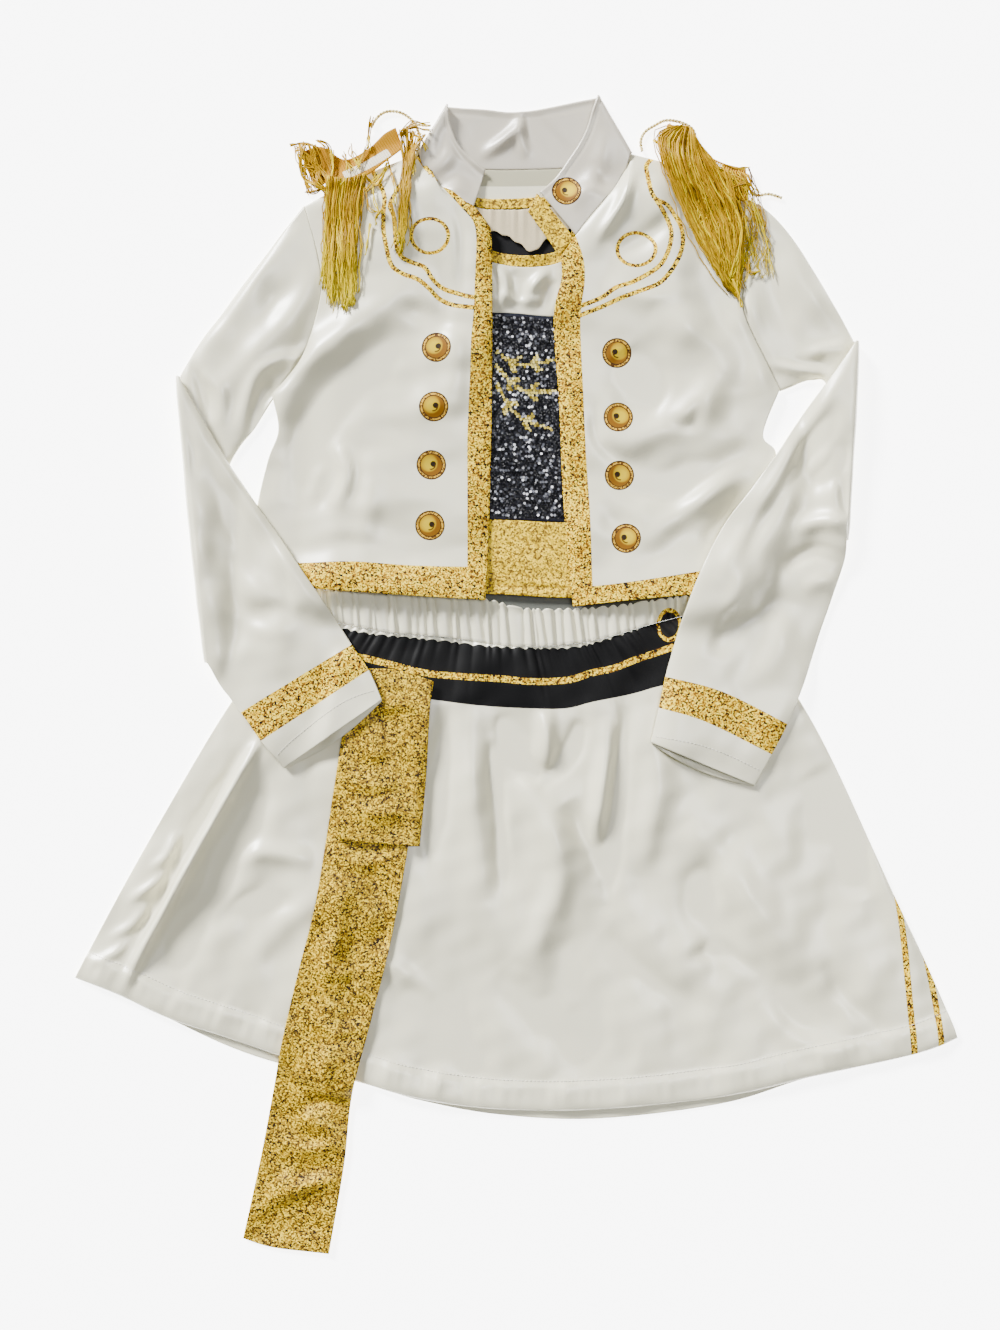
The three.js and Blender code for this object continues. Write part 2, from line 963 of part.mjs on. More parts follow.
// One section's ring from its four surfaces: lower layer outside and inside, upper layer inside and outside
function ringOf(outside0, inside0, inside1, outside1) {
  const edge = (a, b, next, bulge) => {
    const away = a.clone().sub(next).setZ(0).normalize();
    return a.clone().lerp(b, 0.5).addScaledVector(away, Math.min(a.distanceTo(b) / 2, bulge));
  };
  const loop = (low, high, bulge) => [
    ...low,
    edge(low.at(-1), high.at(-1), low.at(-2), bulge),
    ...high.toReversed(),
    edge(high[0], low[0], high[1], bulge),
  ];
  return { outer: loop(outside0, outside1, EDGE_BULGE), inner: loop(inside0, inside1, EDGE_BULGE - KNIT) };
}

function sleevePlans(upperSections, foreSections, armhole) {
  const upper = sectionPlan(upperSections, "outer", "under", SLEEVE_CELLS);
  const straight = upper[0].map((point) => point.clone());
  const armholePoints = evenPoints(armhole, SLEEVE_CELLS).reverse();
  ARMHOLE_BLEND.forEach((share, row) => {
    upper[row].forEach((point, column) => {
      point.addScaledVector(armholePoints[column].clone().sub(straight[column]), share);
    });
  });
  insetEdge(upper[0], upper[1]);
  const fore = sectionPlan(foreSections, "outer", "under", SLEEVE_CELLS);
  return { upper, fore };
}

// How far a folded layer stands up near its fold
function puffNear(rows, foldRow) {
  return (row, column) => {
    const away = rows[row][column].distanceTo(foldRow[column]);
    return 2 * FOLD_PUFF * Math.exp(-((away / FOLD_PUFF_REACH) ** 2));
  };
}

function sleeveLayers({ upper, fore }, upperFolds, foreFolds) {
  const mouth = fore.at(-1).map((point, column) => {
    const inside = fore.at(-2)[column];
    const away = point.clone().sub(inside).normalize();
    return point.clone().addScaledVector(away, MOUTH_LAP * Math.sin((Math.PI * column) / SLEEVE_CELLS));
  });
  return {
    upperLow: layer(upper),
    upperHigh: layer(upper, { folds: upperFolds }),
    foreLow: layer([...fore.slice(0, -1), mouth], { lift: puffNear(fore, fore[0]) }),
    foreHigh: layer(fore, { folds: foreFolds }),
  };
}

function sleeveGeometry({ upperLow, upperHigh, foreLow, foreHigh }) {
  const tops = (laid) => lifted(laid.rows, laid.cloth);
  const upper = [upperLow.rows, tops(upperLow), upperHigh.rows, tops(upperHigh)];
  const fore = [tops(foreHigh), foreHigh.rows, tops(foreLow), foreLow.rows];
  const rings = upper[0].map((unused, row) => ringOf(...upper.map((rows) => rows[row])));
  const outward = awayFromFold(upper[0].at(-1), upper[0].at(-2));
  for (const angle of turnAngles) {
    const surfaces = upper.map((rows, surface) =>
      rows.at(-1).map((low, column) => turned(low, fore[surface][0][column], angle, outward)),
    );
    rings.push(ringOf(...surfaces));
  }
  fore[0].forEach((unused, row) => rings.push(ringOf(...fore.map((rows) => rows[row]))));
  return wall(
    rings.map((ring) => ring.outer),
    rings.map((ring) => ring.inner),
    true,
  );
}

// The collar: one strip that lies low across the back and turns over at both sides

function collarGeometry(rightFront, back, leftFront) {
  const tops = (laid) => lifted(laid.rows, laid.cloth);
  const outer = [...tops(rightFront)];
  const inner = [...rightFront.rows];
  const turn = (lowRow, highRow, cloth, innerRow, angles) => {
    const outward = awayFromFold(lowRow, innerRow);
    const [lowTop, highTop] = [raised(lowRow, cloth), raised(highRow, cloth)];
    for (const angle of angles) {
      outer.push(lowRow.map((low, column) => turned(low, highTop[column], angle, outward)));
      inner.push(lowTop.map((low, column) => turned(low, highRow[column], angle, outward)));
    }
  };
  turn(back.rows[0], rightFront.rows.at(-1), back.cloth, back.rows[1], turnAngles.toReversed());
  outer.push(...back.rows);
  inner.push(...tops(back));
  turn(back.rows.at(-1), leftFront.rows[0], back.cloth, back.rows.at(-2), turnAngles);
  outer.push(...tops(leftFront));
  inner.push(...leftFront.rows);
  return wall(outer, inner);
}

// Fringe and cord

const wasm = await Module();
wasm.setup();

function solidOf(geometry) {
  const bare = geometry.clone();
  for (const name of ["normal", "uv"]) bare.deleteAttribute(name);
  const merged = mergeVertices(bare, WELD);
  const vertProperties = new Float32Array(merged.attributes.position.array);
  return new wasm.Manifold(
    new wasm.Mesh({ numProp: 3, vertProperties, triVerts: new Uint32Array(merged.index.array) }),
  );
}

function geometryFrom(solid) {
  const mesh = solid.getMesh();
  const geometry = new THREE.BufferGeometry();
  geometry.setAttribute("position", new THREE.Float32BufferAttribute(mesh.vertProperties, 3));
  geometry.setIndex(Array.from(mesh.triVerts));
  return geometry;
}

// A three-sided strand along its points
function strandGeometry(path) {
  const rings = path.map((point, index) => {
    const next = path[Math.min(index + 1, path.length - 1)];
    const along = next.clone().sub(path[Math.max(index - 1, 0)]).normalize();
    const side = new THREE.Vector3(along.y, -along.x, 0).normalize();
    const up = side.clone().cross(along);
    return [0, 1, 2].map((corner) => {
      const angle = Math.PI / 2 + (corner * 2 * Math.PI) / 3;
      const across = side.clone().multiplyScalar(Math.cos(angle) * STRAND_RADIUS);
      return point.clone().add(across).addScaledVector(up, Math.sin(angle) * STRAND_RADIUS);
    });
  });
  const triangles = [
    [0, 1, 2],
    [2, 1, 0].map((corner) => corner + 3 * (rings.length - 1)),
  ];
  for (let ring = 0; ring < rings.length - 1; ring++) {
    for (let corner = 0; corner < 3; corner++) {
      const [a, b] = [3 * ring + corner, 3 * ring + ((corner + 1) % 3)];
      triangles.push([a, a + 3, b], [b, a + 3, b + 3]);
    }
  }
  return geometryOf(rings.flat(), triangles);
}

// A strand's course in plan, between the two guides next to its place across the fringe
function guidedPath(guides, share) {
  const place = share * (guides.length - 1);
  const first = Math.min(Math.floor(place), guides.length - 2);
  const [before, after] = [guides[first], guides[first + 1]];
  const mix = (column) => THREE.MathUtils.lerp(before[column], after[column], place - first);
  const stops = ["root", "knee", "middle", "tip"];
  return new THREE.SplineCurve(stops.map((stop) => new THREE.Vector2(mix(`${stop}X`), mix(`${stop}Y`))));
}

const unevenness = (strand, row) => Math.abs(Math.sin(strand * 12.9 + row * 78.2) * 43.7) % 1;

function addFringe({ name, tape, guides, strands, layers }) {
  const height = layers * STRAND_LAYER + 2 * STRAND_RADIUS;
  const centre = new THREE.SplineCurve(tape.map((point) => new THREE.Vector2(point.x, point.y)));
  const edges = [-TAPE_WIDTH / 2, TAPE_WIDTH / 2];
  const tapePlan = Array.from({ length: 2 * tape.length - 1 }, (unused, index) => {
    const share = index / (2 * tape.length - 2);
    const along = centre.getTangent(share);
    const across = new THREE.Vector2(-along.y, along.x);
    return edges.map((edge) => centre.getPoint(share).addScaledVector(across, edge));
  });
  const heading = layer(tapePlan, { cloth: height });
  const edgeRests = (side) => restAlong(heading.rows.map((row) => row[side]));
  const base = Math.max(...edgeRests(0), ...edgeRests(1));
  for (const point of heading.rows.flat()) point.z = base;
  let fringe = solidOf(wall(lifted(heading.rows, height), heading.rows));
  const paths = [];
  for (let row = 0; row < layers; row++) {
    const count = strands - (row % 2);
    for (let strand = 0; strand < count; strand++) {
      const course = guidedPath(guides, (strand + (row % 2 ? 0.5 : 0)) / (strands - 1));
      const length = 1 - STRAND_UNEVEN * unevenness(strand, row);
      const above = STRAND_RADIUS + row * STRAND_LAYER;
      const places = [];
      for (let step = 0; step <= STRAND_STEPS; step++) {
        places.push(course.getPoint((length * step) / STRAND_STEPS));
      }
      const rests = restAlong(places);
      rests[0] = base + STRAND_RADIUS / 2;
      const path = places.map((point, step) => new THREE.Vector3(point.x, point.y, rests[step] + above));
      paths.push(path);
      fringe = fringe.add(solidOf(strandGeometry(path)));
    }
  }
  for (const path of paths) coverPath(path, STRAND_RADIUS);
  cover(heading);
  add(name, YELLOW, geometryFrom(fringe));
}

function coverPath(path, radius) {
  for (let index = 1; index < path.length; index++) {
    const steps = Math.ceil(path[index].distanceTo(path[index - 1]) / (CELL / 2));
    for (let step = 0; step <= steps; step++) {
      const point = path[index - 1].clone().lerp(path[index], step / steps);
      raise(point.x, point.y, point.z + radius);
    }
  }
}

function addCord({ name, route }) {
  const level = new THREE.SplineCurve(route.map((point) => new THREE.Vector2(point.x, point.y)));
  const steps = CORD_STEPS * route.length;
  const places = level.getPoints(steps);
  const rests = restAlong(places);
  const above = CORD_RADIUS + LAYER_GAP;
  const path = places.map((point, index) => new THREE.Vector3(point.x, point.y, rests[index] + above));
  const section = new THREE.Shape(
    Array.from({ length: CORD_SIDES }, (unused, side) => {
      const angle = (2 * Math.PI * side) / CORD_SIDES;
      return new THREE.Vector2(CORD_RADIUS * Math.cos(angle), CORD_RADIUS * Math.sin(angle));
    }),
  );
  const extrudePath = new THREE.CatmullRomCurve3(path);
  add(name, GOLD, new THREE.ExtrudeGeometry(section, { steps, extrudePath, bevelEnabled: false }));
  coverPath(path, CORD_RADIUS);
}

// The costume, from the surface up

// A panel's plan from its four outlines, with its cells counted across and along
function panelPlan(hem, top, right, left, across, along) {
  const ends = [hem, top].map((edge) => evenPoints(edge, across));
  const sides = [right, left].map((edge) => evenPoints(edge, along));
  return inset(plan(...ends, ...sides));
}

const stripPlan = (sections, cells) => inset(sectionPlan(sections, "inner", "outer", cells));

// Skirt
const backWaistEdges = [WAIST_STITCHING, BACK_WAIST_TOP, BACK_WAIST_RIGHT_END, BACK_WAIST_LEFT_END];
const backWaist = layer(panelPlan(...backWaistEdges, 16, 1));
const skirtBack = layer(panelPlan(SKIRT_BACK_HEM, WAIST_STITCHING, SKIRT_RIGHT, SKIRT_LEFT, 20, 7));
const skirtFront = layer(panelPlan(SKIRT_FRONT_HEM, WAIST_STITCHING, SKIRT_RIGHT, SKIRT_LEFT, 30, 12), {
  folds: SKIRT_FOLDS,
});
const frontWaistEdges = [WAIST_STITCHING, WAIST_TOP, WAIST_RIGHT_END, WAIST_LEFT_END];
const frontWaist = layer(panelPlan(...frontWaistEdges, GATHER_SIDES * GATHERS, 1), {
  lift: (row, column) => (GATHER_HEIGHT * (1 - Math.cos((2 * Math.PI * column) / GATHER_SIDES))) / 2,
});

// Jacket
const sideRight = join(evenPoints(SIDE_RIGHT, SIDE_CELLS), evenPoints(ARMHOLE_RIGHT, SLEEVE_CELLS));
const sideLeft = join(evenPoints(SIDE_LEFT, SIDE_CELLS), evenPoints(ARMHOLE_LEFT, SLEEVE_CELLS));
const shoulderRight = evenPoints(SHOULDER_RIGHT, SHOULDER_CELLS);
const shoulderLeft = evenPoints(SHOULDER_LEFT, SHOULDER_CELLS);
const neckSeam = (sections) => sections.map((section) => new THREE.Vector2(section.seamX, section.seamY));
const panelUnder = (hem, top, ...sides) => inset(plan(evenPoints(hem, top.length - 1), top, ...sides));

const backTop = join(shoulderRight, neckSeam(COLLAR_BACK), shoulderLeft);
const jacketBack = layer(panelUnder(JACKET_BACK_HEM, backTop, sideRight, sideLeft));
const frontRightTop = join(shoulderRight, neckSeam(COLLAR_RIGHT_FRONT).reverse());
const frontRightEdge = evenPoints(FRONT_RIGHT_EDGE, SIDE_CELLS + SLEEVE_CELLS);
const frontRight = layer(panelUnder(FRONT_RIGHT_HEM, frontRightTop, sideRight, frontRightEdge), {
  folds: FRONT_RIGHT_FOLDS,
});
const bandTop = evenPoints(FRONT_LEFT_BAND_TOP, 1);
const frontLeftTop = join(bandTop, neckSeam(COLLAR_LEFT_FRONT).reverse(), shoulderLeft);
const frontLeftEdge = evenPoints(FRONT_LEFT_EDGE, SIDE_CELLS + SLEEVE_CELLS);
const frontLeft = layer(panelUnder(FRONT_LEFT_HEM, frontLeftTop, frontLeftEdge, sideLeft), {
  folds: FRONT_LEFT_FOLDS,
});
const sleeveRight = sleeveLayers(
  sleevePlans(SLEEVE_RIGHT_UPPER, SLEEVE_RIGHT_FORE, ARMHOLE_RIGHT),
  UPPER_RIGHT_FOLDS,
  FORE_RIGHT_FOLDS,
);
const sleeveLeft = sleeveLayers(
  sleevePlans(SLEEVE_LEFT_UPPER, SLEEVE_LEFT_FORE, ARMHOLE_LEFT),
  UPPER_LEFT_FOLDS,
  FORE_LEFT_FOLDS,
);

function collarPart(sections, foldRow) {
  const rows = sectionPlan(sections, "seam", "edge", COLLAR_CELLS);
  insetEdge(
    rows.map((row) => row[0]),
    rows.map((row) => row[1]),
  );
  const lift = foldRow === undefined ? () => 0 : puffNear(rows, rows.at(foldRow));
  return layer(rows, { cloth: COLLAR_KNIT, lift });
}
const collarBack = collarPart(COLLAR_BACK);
const collarRightFront = collarPart(COLLAR_RIGHT_FRONT, -1);
const collarLeftFront = collarPart(COLLAR_LEFT_FRONT, 0);
const collarBand = layer(stripPlan(COLLAR_BAND_LEFT, 1));

// Camisole
const camisoleCells = NECK_CELLS + 2 * STRAP_CELLS;
const neckline = evenPoints(NECKLINE, NECK_CELLS);
const camisoleBackEdges = [CAMISOLE_BACK_HEM, CAMISOLE_BACK_TOP, CAMISOLE_BACK_RIGHT, CAMISOLE_BACK_LEFT];
const camisoleBack = layer(panelPlan(...camisoleBackEdges, camisoleCells, 7));
const backBinding = layer(stripPlan(BACK_BINDING, 1));
const backFacing = layer(stripPlan(BACK_FACING, 2));
const strapRight = evenPoints(STRAP_RIGHT_TOP, STRAP_CELLS);
const strapLeft = evenPoints(STRAP_LEFT_TOP, STRAP_CELLS);
const yokeTop = join(strapRight, neckline, strapLeft);
const yoke = layer(panelUnder(YOKE_SEAM, yokeTop, evenPoints(YOKE_RIGHT, 4), evenPoints(YOKE_LEFT, 4)));
const frontBinding = layer(
  inset(
    neckline.map((point, index) => {
      const before = neckline[Math.max(index - 1, 0)];
      const after = neckline[Math.min(index + 1, NECK_CELLS)];
      const along = after.clone().sub(before).normalize();
      return [point, point.clone().addScaledVector(new THREE.Vector2(-along.y, along.x), BINDING_WIDTH)];
    }),
  ),
);
const sequinPanel = layer(panelPlan(SEQUIN_SEAM, YOKE_SEAM, SEQUIN_RIGHT, SEQUIN_LEFT, camisoleCells, 5));
const hemBandEdges = [CAMISOLE_HEM, SEQUIN_SEAM, HEM_BAND_RIGHT, HEM_BAND_LEFT];
const hemBand = layer(panelPlan(...hemBandEdges, camisoleCells, 2));

// Sash
const longTail = layer(panelPlan(LONG_TAIL_END, LONG_TAIL_TOP, LONG_TAIL_RIGHT, LONG_TAIL_LEFT, 4, 18), {
  folds: TAIL_FOLDS,
});
const shortTail = layer(panelPlan(SHORT_TAIL_END, SHORT_TAIL_TOP, SHORT_TAIL_RIGHT, SHORT_TAIL_LEFT, 4, 6));

const boardRight = layer(stripPlan(BOARD_RIGHT, 2), { cloth: BOARD });
const boardLeft = layer(stripPlan(BOARD_LEFT, 2), { cloth: BOARD });

lay(backWaist, skirtBack, jacketBack, collarBack, sleeveRight.upperLow, sleeveLeft.upperLow);
lay(camisoleBack, backBinding);
lay(backFacing);
lay(yoke, frontBinding, sequinPanel, hemBand);
lay(frontWaist, skirtFront);
lay(collarBand);
lay(frontRight, frontLeft, collarRightFront, collarLeftFront, sleeveRight.upperHigh, sleeveLeft.upperHigh);
lay(longTail);
lay(shortTail);
lay(sleeveRight.foreLow, sleeveLeft.foreLow);
lay(sleeveRight.foreHigh, sleeveLeft.foreHigh);
lay(boardRight, boardLeft);

addPanel("skirt_back_waist", WHITE, backWaist);
addPanel("skirt_back", WHITE, skirtBack);
addPanel("skirt_front_waist", WHITE, frontWaist);
addPanel("skirt_front", WHITE, skirtFront);
addPanel("jacket_back", WHITE, jacketBack);
addPanel("jacket_front_right", WHITE, frontRight);
addPanel("jacket_front_left", WHITE, frontLeft);
add("jacket_collar", WHITE, collarGeometry(collarRightFront, collarBack, collarLeftFront));
addPanel("jacket_collar_band", GOLD, collarBand);
add("sleeve_right", WHITE, sleeveGeometry(sleeveRight));
add("sleeve_left", WHITE, sleeveGeometry(sleeveLeft));
addPanel("camisole_back", BLACK, camisoleBack);
addPanel("camisole_back_binding", GOLD, backBinding);
addPanel("camisole_back_facing", WHITE, backFacing);
addPanel("camisole_front", WHITE, yoke);
addPanel("camisole_front_binding", GOLD, frontBinding);
addPanel("camisole_sequin_panel", BLACK, sequinPanel);
addPanel("camisole_hem_band", GOLD, hemBand);
addPanel("sash_long_tail", GOLD, longTail);
addPanel("sash_short_tail", GOLD, shortTail);
addPanel("epaulette_right_board", ORANGE, boardRight);
addPanel("epaulette_left_board", ORANGE, boardLeft);
CORDS.forEach(addCord);
FRINGES.forEach(addFringe);

export default costume;
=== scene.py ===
import math

import bpy
import numpy as np
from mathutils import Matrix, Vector


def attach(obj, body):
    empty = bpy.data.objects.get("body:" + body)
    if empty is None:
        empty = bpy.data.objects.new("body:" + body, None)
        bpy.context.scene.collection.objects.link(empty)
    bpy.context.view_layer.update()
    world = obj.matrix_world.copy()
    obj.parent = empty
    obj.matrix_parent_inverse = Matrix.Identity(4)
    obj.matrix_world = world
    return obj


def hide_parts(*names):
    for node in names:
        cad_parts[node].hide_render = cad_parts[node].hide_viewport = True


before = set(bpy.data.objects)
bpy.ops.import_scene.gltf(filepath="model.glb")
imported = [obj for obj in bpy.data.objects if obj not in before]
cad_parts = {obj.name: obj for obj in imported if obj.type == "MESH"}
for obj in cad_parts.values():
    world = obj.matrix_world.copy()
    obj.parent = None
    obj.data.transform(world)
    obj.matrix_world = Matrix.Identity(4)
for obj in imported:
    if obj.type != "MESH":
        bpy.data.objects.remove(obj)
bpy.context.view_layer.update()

# A child's marching band costume, laid flat with its front up. Tables and sizes are in millimetres,
# X to the wearer's left and Y to the neck. Right and left are the wearer's.

MM = 0.001
# Thickness of the knit, the collar and the epaulettes' boards
KNIT = 1.2
COLLAR_KNIT = 1.6
BOARD = 2.4
# The air between two layers of cloth, and how far a panel is drawn in at its seams
LAYER_GAP = 0.35
SEAM_INSET = 0.03
# The size of a facet, the closer steps at a panel's rims, and the steps of a curve between two points
FACET = 3.0
RIM_STEPS = (0.4, 1.0, 2.0)
CURVE_STEPS = 10
LINE_STEPS = 6
# How a layer rises from its held edges and settles at its free ones
LOFT_REACH = 9
SETTLE_REACH = 5
# The sleeve's rounded long edges, and its fold at the elbow
EDGE_BULGE = 1.9
FOLD_BULGE = 0.45
FOLD_PUFF = 3.6
FOLD_PUFF_REACH = 32
TURN_STEPS = 10
MOUTH_LAP = 6
# The folds' common height, and how far their width in the tables reaches
FOLD_SCALE = 1.6
FOLD_REACH = 0.78
# The waist's gathers, how far the short and the long ones run into the skirt, the hem and the bindings
SHORT_REACH = (7, 17)
LONG_REACH = (26, 52)
SHORT_SHARE = 0.72
GATHERS = 44
GATHER_WIDTHS = (0.3, 1.3)
GATHER_HEIGHTS = (1.5, 4.2)
GATHER_LEAN = 0.35
GATHER_ROUNDNESS = 0.85
HEM_DEPTH = 21
HEM_RISE = 2.3
# How many puckers run along the hem
HEM_PUCKERS = (23, 37, 58, 81)
BINDING_WIDTH = 9

# Outlines, each a row of points x, y, with a third number at a sharp corner. Sections hold the two
# ends of a strip or sleeve: outer x, y and under x, y, or seam x, y and edge x, y.
ARMHOLE_RIGHT = [(-189, 218), (-168, 243), (-158, 268), (-151, 299), (-153, 325), (-164, 365)]
ARMHOLE_LEFT = [(206, 222), (195, 244), (179, 278), (176, 301), (177, 335), (189, 367)]
SIDE_RIGHT = [(-197, 72), (-203, 101), (-200, 134), (-192, 168), (-184, 191), (-189, 218)]
SIDE_LEFT = [(172, 65), (185, 101), (197, 136), (203, 172), (193, 187), (206, 222)]
JACKET_BACK_HEM = [(-197, 72), (-12, 76), (172, 65)]
SHOULDER_RIGHT = [(-164, 365), (-119, 389), (-75, 406)]
SHOULDER_LEFT = [(90, 406), (140, 392), (189, 367)]
FRONT_RIGHT_HEM = [(-197, 72), (-155, 67), (-90, 62), (-23, 58)]
FRONT_RIGHT_EDGE = [(-23, 58), (-20, 122), (-18, 214), (-18, 335), (-23, 346), (-35, 354)]
FRONT_LEFT_HEM = [(45, 53), (90, 58), (134, 62), (172, 65)]
FRONT_LEFT_EDGE = [(45, 53), (41, 90), (37, 144), (34, 214), (30, 277), (36, 308), (35, 324)]
FRONT_LEFT_BAND_TOP = [(35, 324), (47, 341)]
COLLAR_RIGHT_FRONT = [
    (-35, 354, -23, 393), (-46, 373, -34, 402), (-59, 380, -44, 413), (-69, 389, -51, 430),
    (-75, 406, -52, 443),
]
COLLAR_BACK = [
    (-75, 406, -52, 443), (-62, 400, -40, 442), (-41, 395, -23, 441), (-20, 394, -5, 439),
    (4, 394, 12, 440), (35, 395, 29, 443), (66, 398, 48, 447), (90, 406, 64, 450),
]
COLLAR_LEFT_FRONT = [
    (90, 406, 64, 450), (87, 395, 60, 439), (83, 388, 56, 426), (77, 378, 50, 414), (69, 368, 42, 402),
    (58, 355, 32, 388), (47, 341, 19, 375),
]
COLLAR_BAND_LEFT = [(34, 326, 46, 339), (23, 342, 32, 357), (10, 360, 17, 375)]
SLEEVE_RIGHT_UPPER = [
    (-164, 365, -189, 218), (-180, 345, -201, 195), (-197, 322, -214, 179), (-214, 300, -224, 160),
    (-230, 278, -231, 127), (-246, 257, -236, 78), (-261, 232, -239, 10),
]
SLEEVE_RIGHT_FORE = [
    (-261, 232, -239, 10), (-242, 198, -236, 5), (-222, 164, -234, 1), (-201, 133, -231, -5),
    (-183, 108, -227, -11), (-166, 83, -222, -17), (-148, 57, -217, -24), (-127, 24, -209, -34),
    (-113, 4, -196, -52), (-103, -19, -179, -72),
]
SLEEVE_LEFT_UPPER = [
    (189, 367, 206, 222), (204, 354, 214, 225), (218, 337, 223, 229), (231, 317, 232, 231),
    (243, 297, 243, 227), (254, 278, 252, 183), (264, 259, 257, 105),
]
SLEEVE_LEFT_FORE = [
    (264, 259, 257, 105), (246, 233, 257, 98), (225, 204, 256, 89), (204, 173, 253, 78),
    (182, 143, 249, 66), (163, 118, 244, 51), (148, 91, 238, 34), (136, 63, 231, 12),
    (127, 35, 222, -13), (117, 0, 210, -41), (111, -27, 199, -62), (105, -52, 186, -86),
]
CAMISOLE_BACK_TOP = [
    (-101, 358), (-53, 374, 1), (-29, 364), (4, 363), (35, 366), (66, 377, 1), (109, 361),
]
CAMISOLE_BACK_HEM = [(-138, 66), (144, 65)]
CAMISOLE_BACK_RIGHT = [(-138, 66), (-129, 136), (-133, 199), (-107, 278), (-101, 358)]
CAMISOLE_BACK_LEFT = [(144, 65), (136, 136), (141, 199), (113, 278), (109, 361)]
BACK_BINDING = [
    (-52, 381, -49, 373), (-29, 372, -27, 364), (-8, 371, -8, 363), (12, 372, 12, 364),
    (35, 374, 35, 367), (65, 384, 62, 375),
]
BACK_FACING = [
    (-49, 371, -44, 353), (-27, 363, -27, 348), (-8, 362, -8, 342), (4, 362, 4, 335),
    (14, 363, 14, 329), (25, 364, 25, 339), (35, 365, 40, 346), (62, 374, 57, 353),
]
NECKLINE = [(-53, 368), (-41, 346), (-30, 328), (-18, 321), (8, 317), (35, 321), (49, 335), (65, 370)]
STRAP_RIGHT_TOP = [(-101, 358), (-53, 368)]
STRAP_LEFT_TOP = [(65, 370), (109, 361)]
YOKE_RIGHT = [(-116, 278), (-107, 316), (-101, 358)]
YOKE_LEFT = [(119, 277), (113, 316), (109, 361)]
YOKE_SEAM = [(-116, 278), (-20, 282), (31, 279), (119, 277)]
SEQUIN_RIGHT = [(-129, 122), (-133, 199), (-116, 278)]
SEQUIN_LEFT = [(136, 119), (141, 199), (119, 277)]
SEQUIN_SEAM = [(-129, 122), (-20, 121), (38, 119), (136, 119)]
HEM_BAND_RIGHT = [(-138, 65), (-129, 122)]
HEM_BAND_LEFT = [(144, 62), (136, 119)]
CAMISOLE_HEM = [(-138, 65), (-20, 63), (43, 60), (144, 62)]
WAIST_TOP = [(-166, 68), (-90, 63), (-26, 59), (4, 52), (35, 51), (80, 54), (154, 65)]
WAIST_STITCHING = [(-163, 46), (-105, 34), (-52, 29), (2, 22), (58, 26), (108, 40), (155, 52)]
WAIST_RIGHT_END = [(-163, 46), (-166, 68)]
WAIST_LEFT_END = [(155, 52), (154, 65)]
BACK_WAIST_TOP = [(-166, 68), (-90, 66), (4, 66), (98, 64), (154, 63)]
BACK_WAIST_LEFT_END = [(155, 52), (154, 63)]
SKIRT_RIGHT = [(-343, -236), (-307, -168), (-257, -80), (-221, -21), (-191, 18), (-163, 46)]
SKIRT_LEFT = [
    (345, -283), (339, -267), (317, -217), (295, -171), (251, -74), (222, -20), (193, 21), (155, 52),
]
SKIRT_FRONT_HEM = [
    (-343, -236), (-311, -248), (-270, -267), (-225, -282), (-184, -296), (-121, -317), (-73, -330),
    (-12, -338), (66, -338), (163, -328), (229, -313), (308, -296), (345, -283),
]
SKIRT_BACK_HEM = [
    (-343, -236), (-311, -248), (-270, -268), (-225, -289), (-184, -303), (-121, -318), (-73, -332),
    (-12, -343), (66, -346), (163, -334), (229, -314), (308, -296), (345, -283),
]
LONG_TAIL_RIGHT = [
    (-212, -439), (-197, -370), (-182, -290), (-168, -229), (-155, -178), (-145, -116), (-134, -47),
    (-124, 2),
]
LONG_TAIL_LEFT = [
    (-145, -451), (-133, -381), (-127, -328), (-111, -265), (-97, -209), (-83, -133), (-76, -66),
    (-68, -4),
]
LONG_TAIL_END = [(-212, -439), (-189, -446), (-145, -451)]
LONG_TAIL_TOP = [(-124, 2), (-68, -4)]
SHORT_TAIL_RIGHT = [(-139, -122), (-135, -74), (-131, -41), (-122, 5)]
SHORT_TAIL_LEFT = [(-74, -133), (-69, -80), (-66, -27), (-63, -5)]
SHORT_TAIL_END = [(-139, -122), (-132, -128), (-74, -133)]
SHORT_TAIL_TOP = [(-122, 5), (-91, 4), (-63, -5)]
BOARD_RIGHT = [
    (-168, 407, -155, 378), (-151, 412, -146, 383), (-133, 402, -132, 383), (-115, 410, -115, 388),
    (-102, 422, -97, 402), (-93, 427, -87, 410),
]
BOARD_LEFT = [
    (119, 430, 112, 408), (136, 424, 126, 392), (147, 408, 140, 377), (163, 399, 154, 366),
    (180, 395, 182, 370),
]

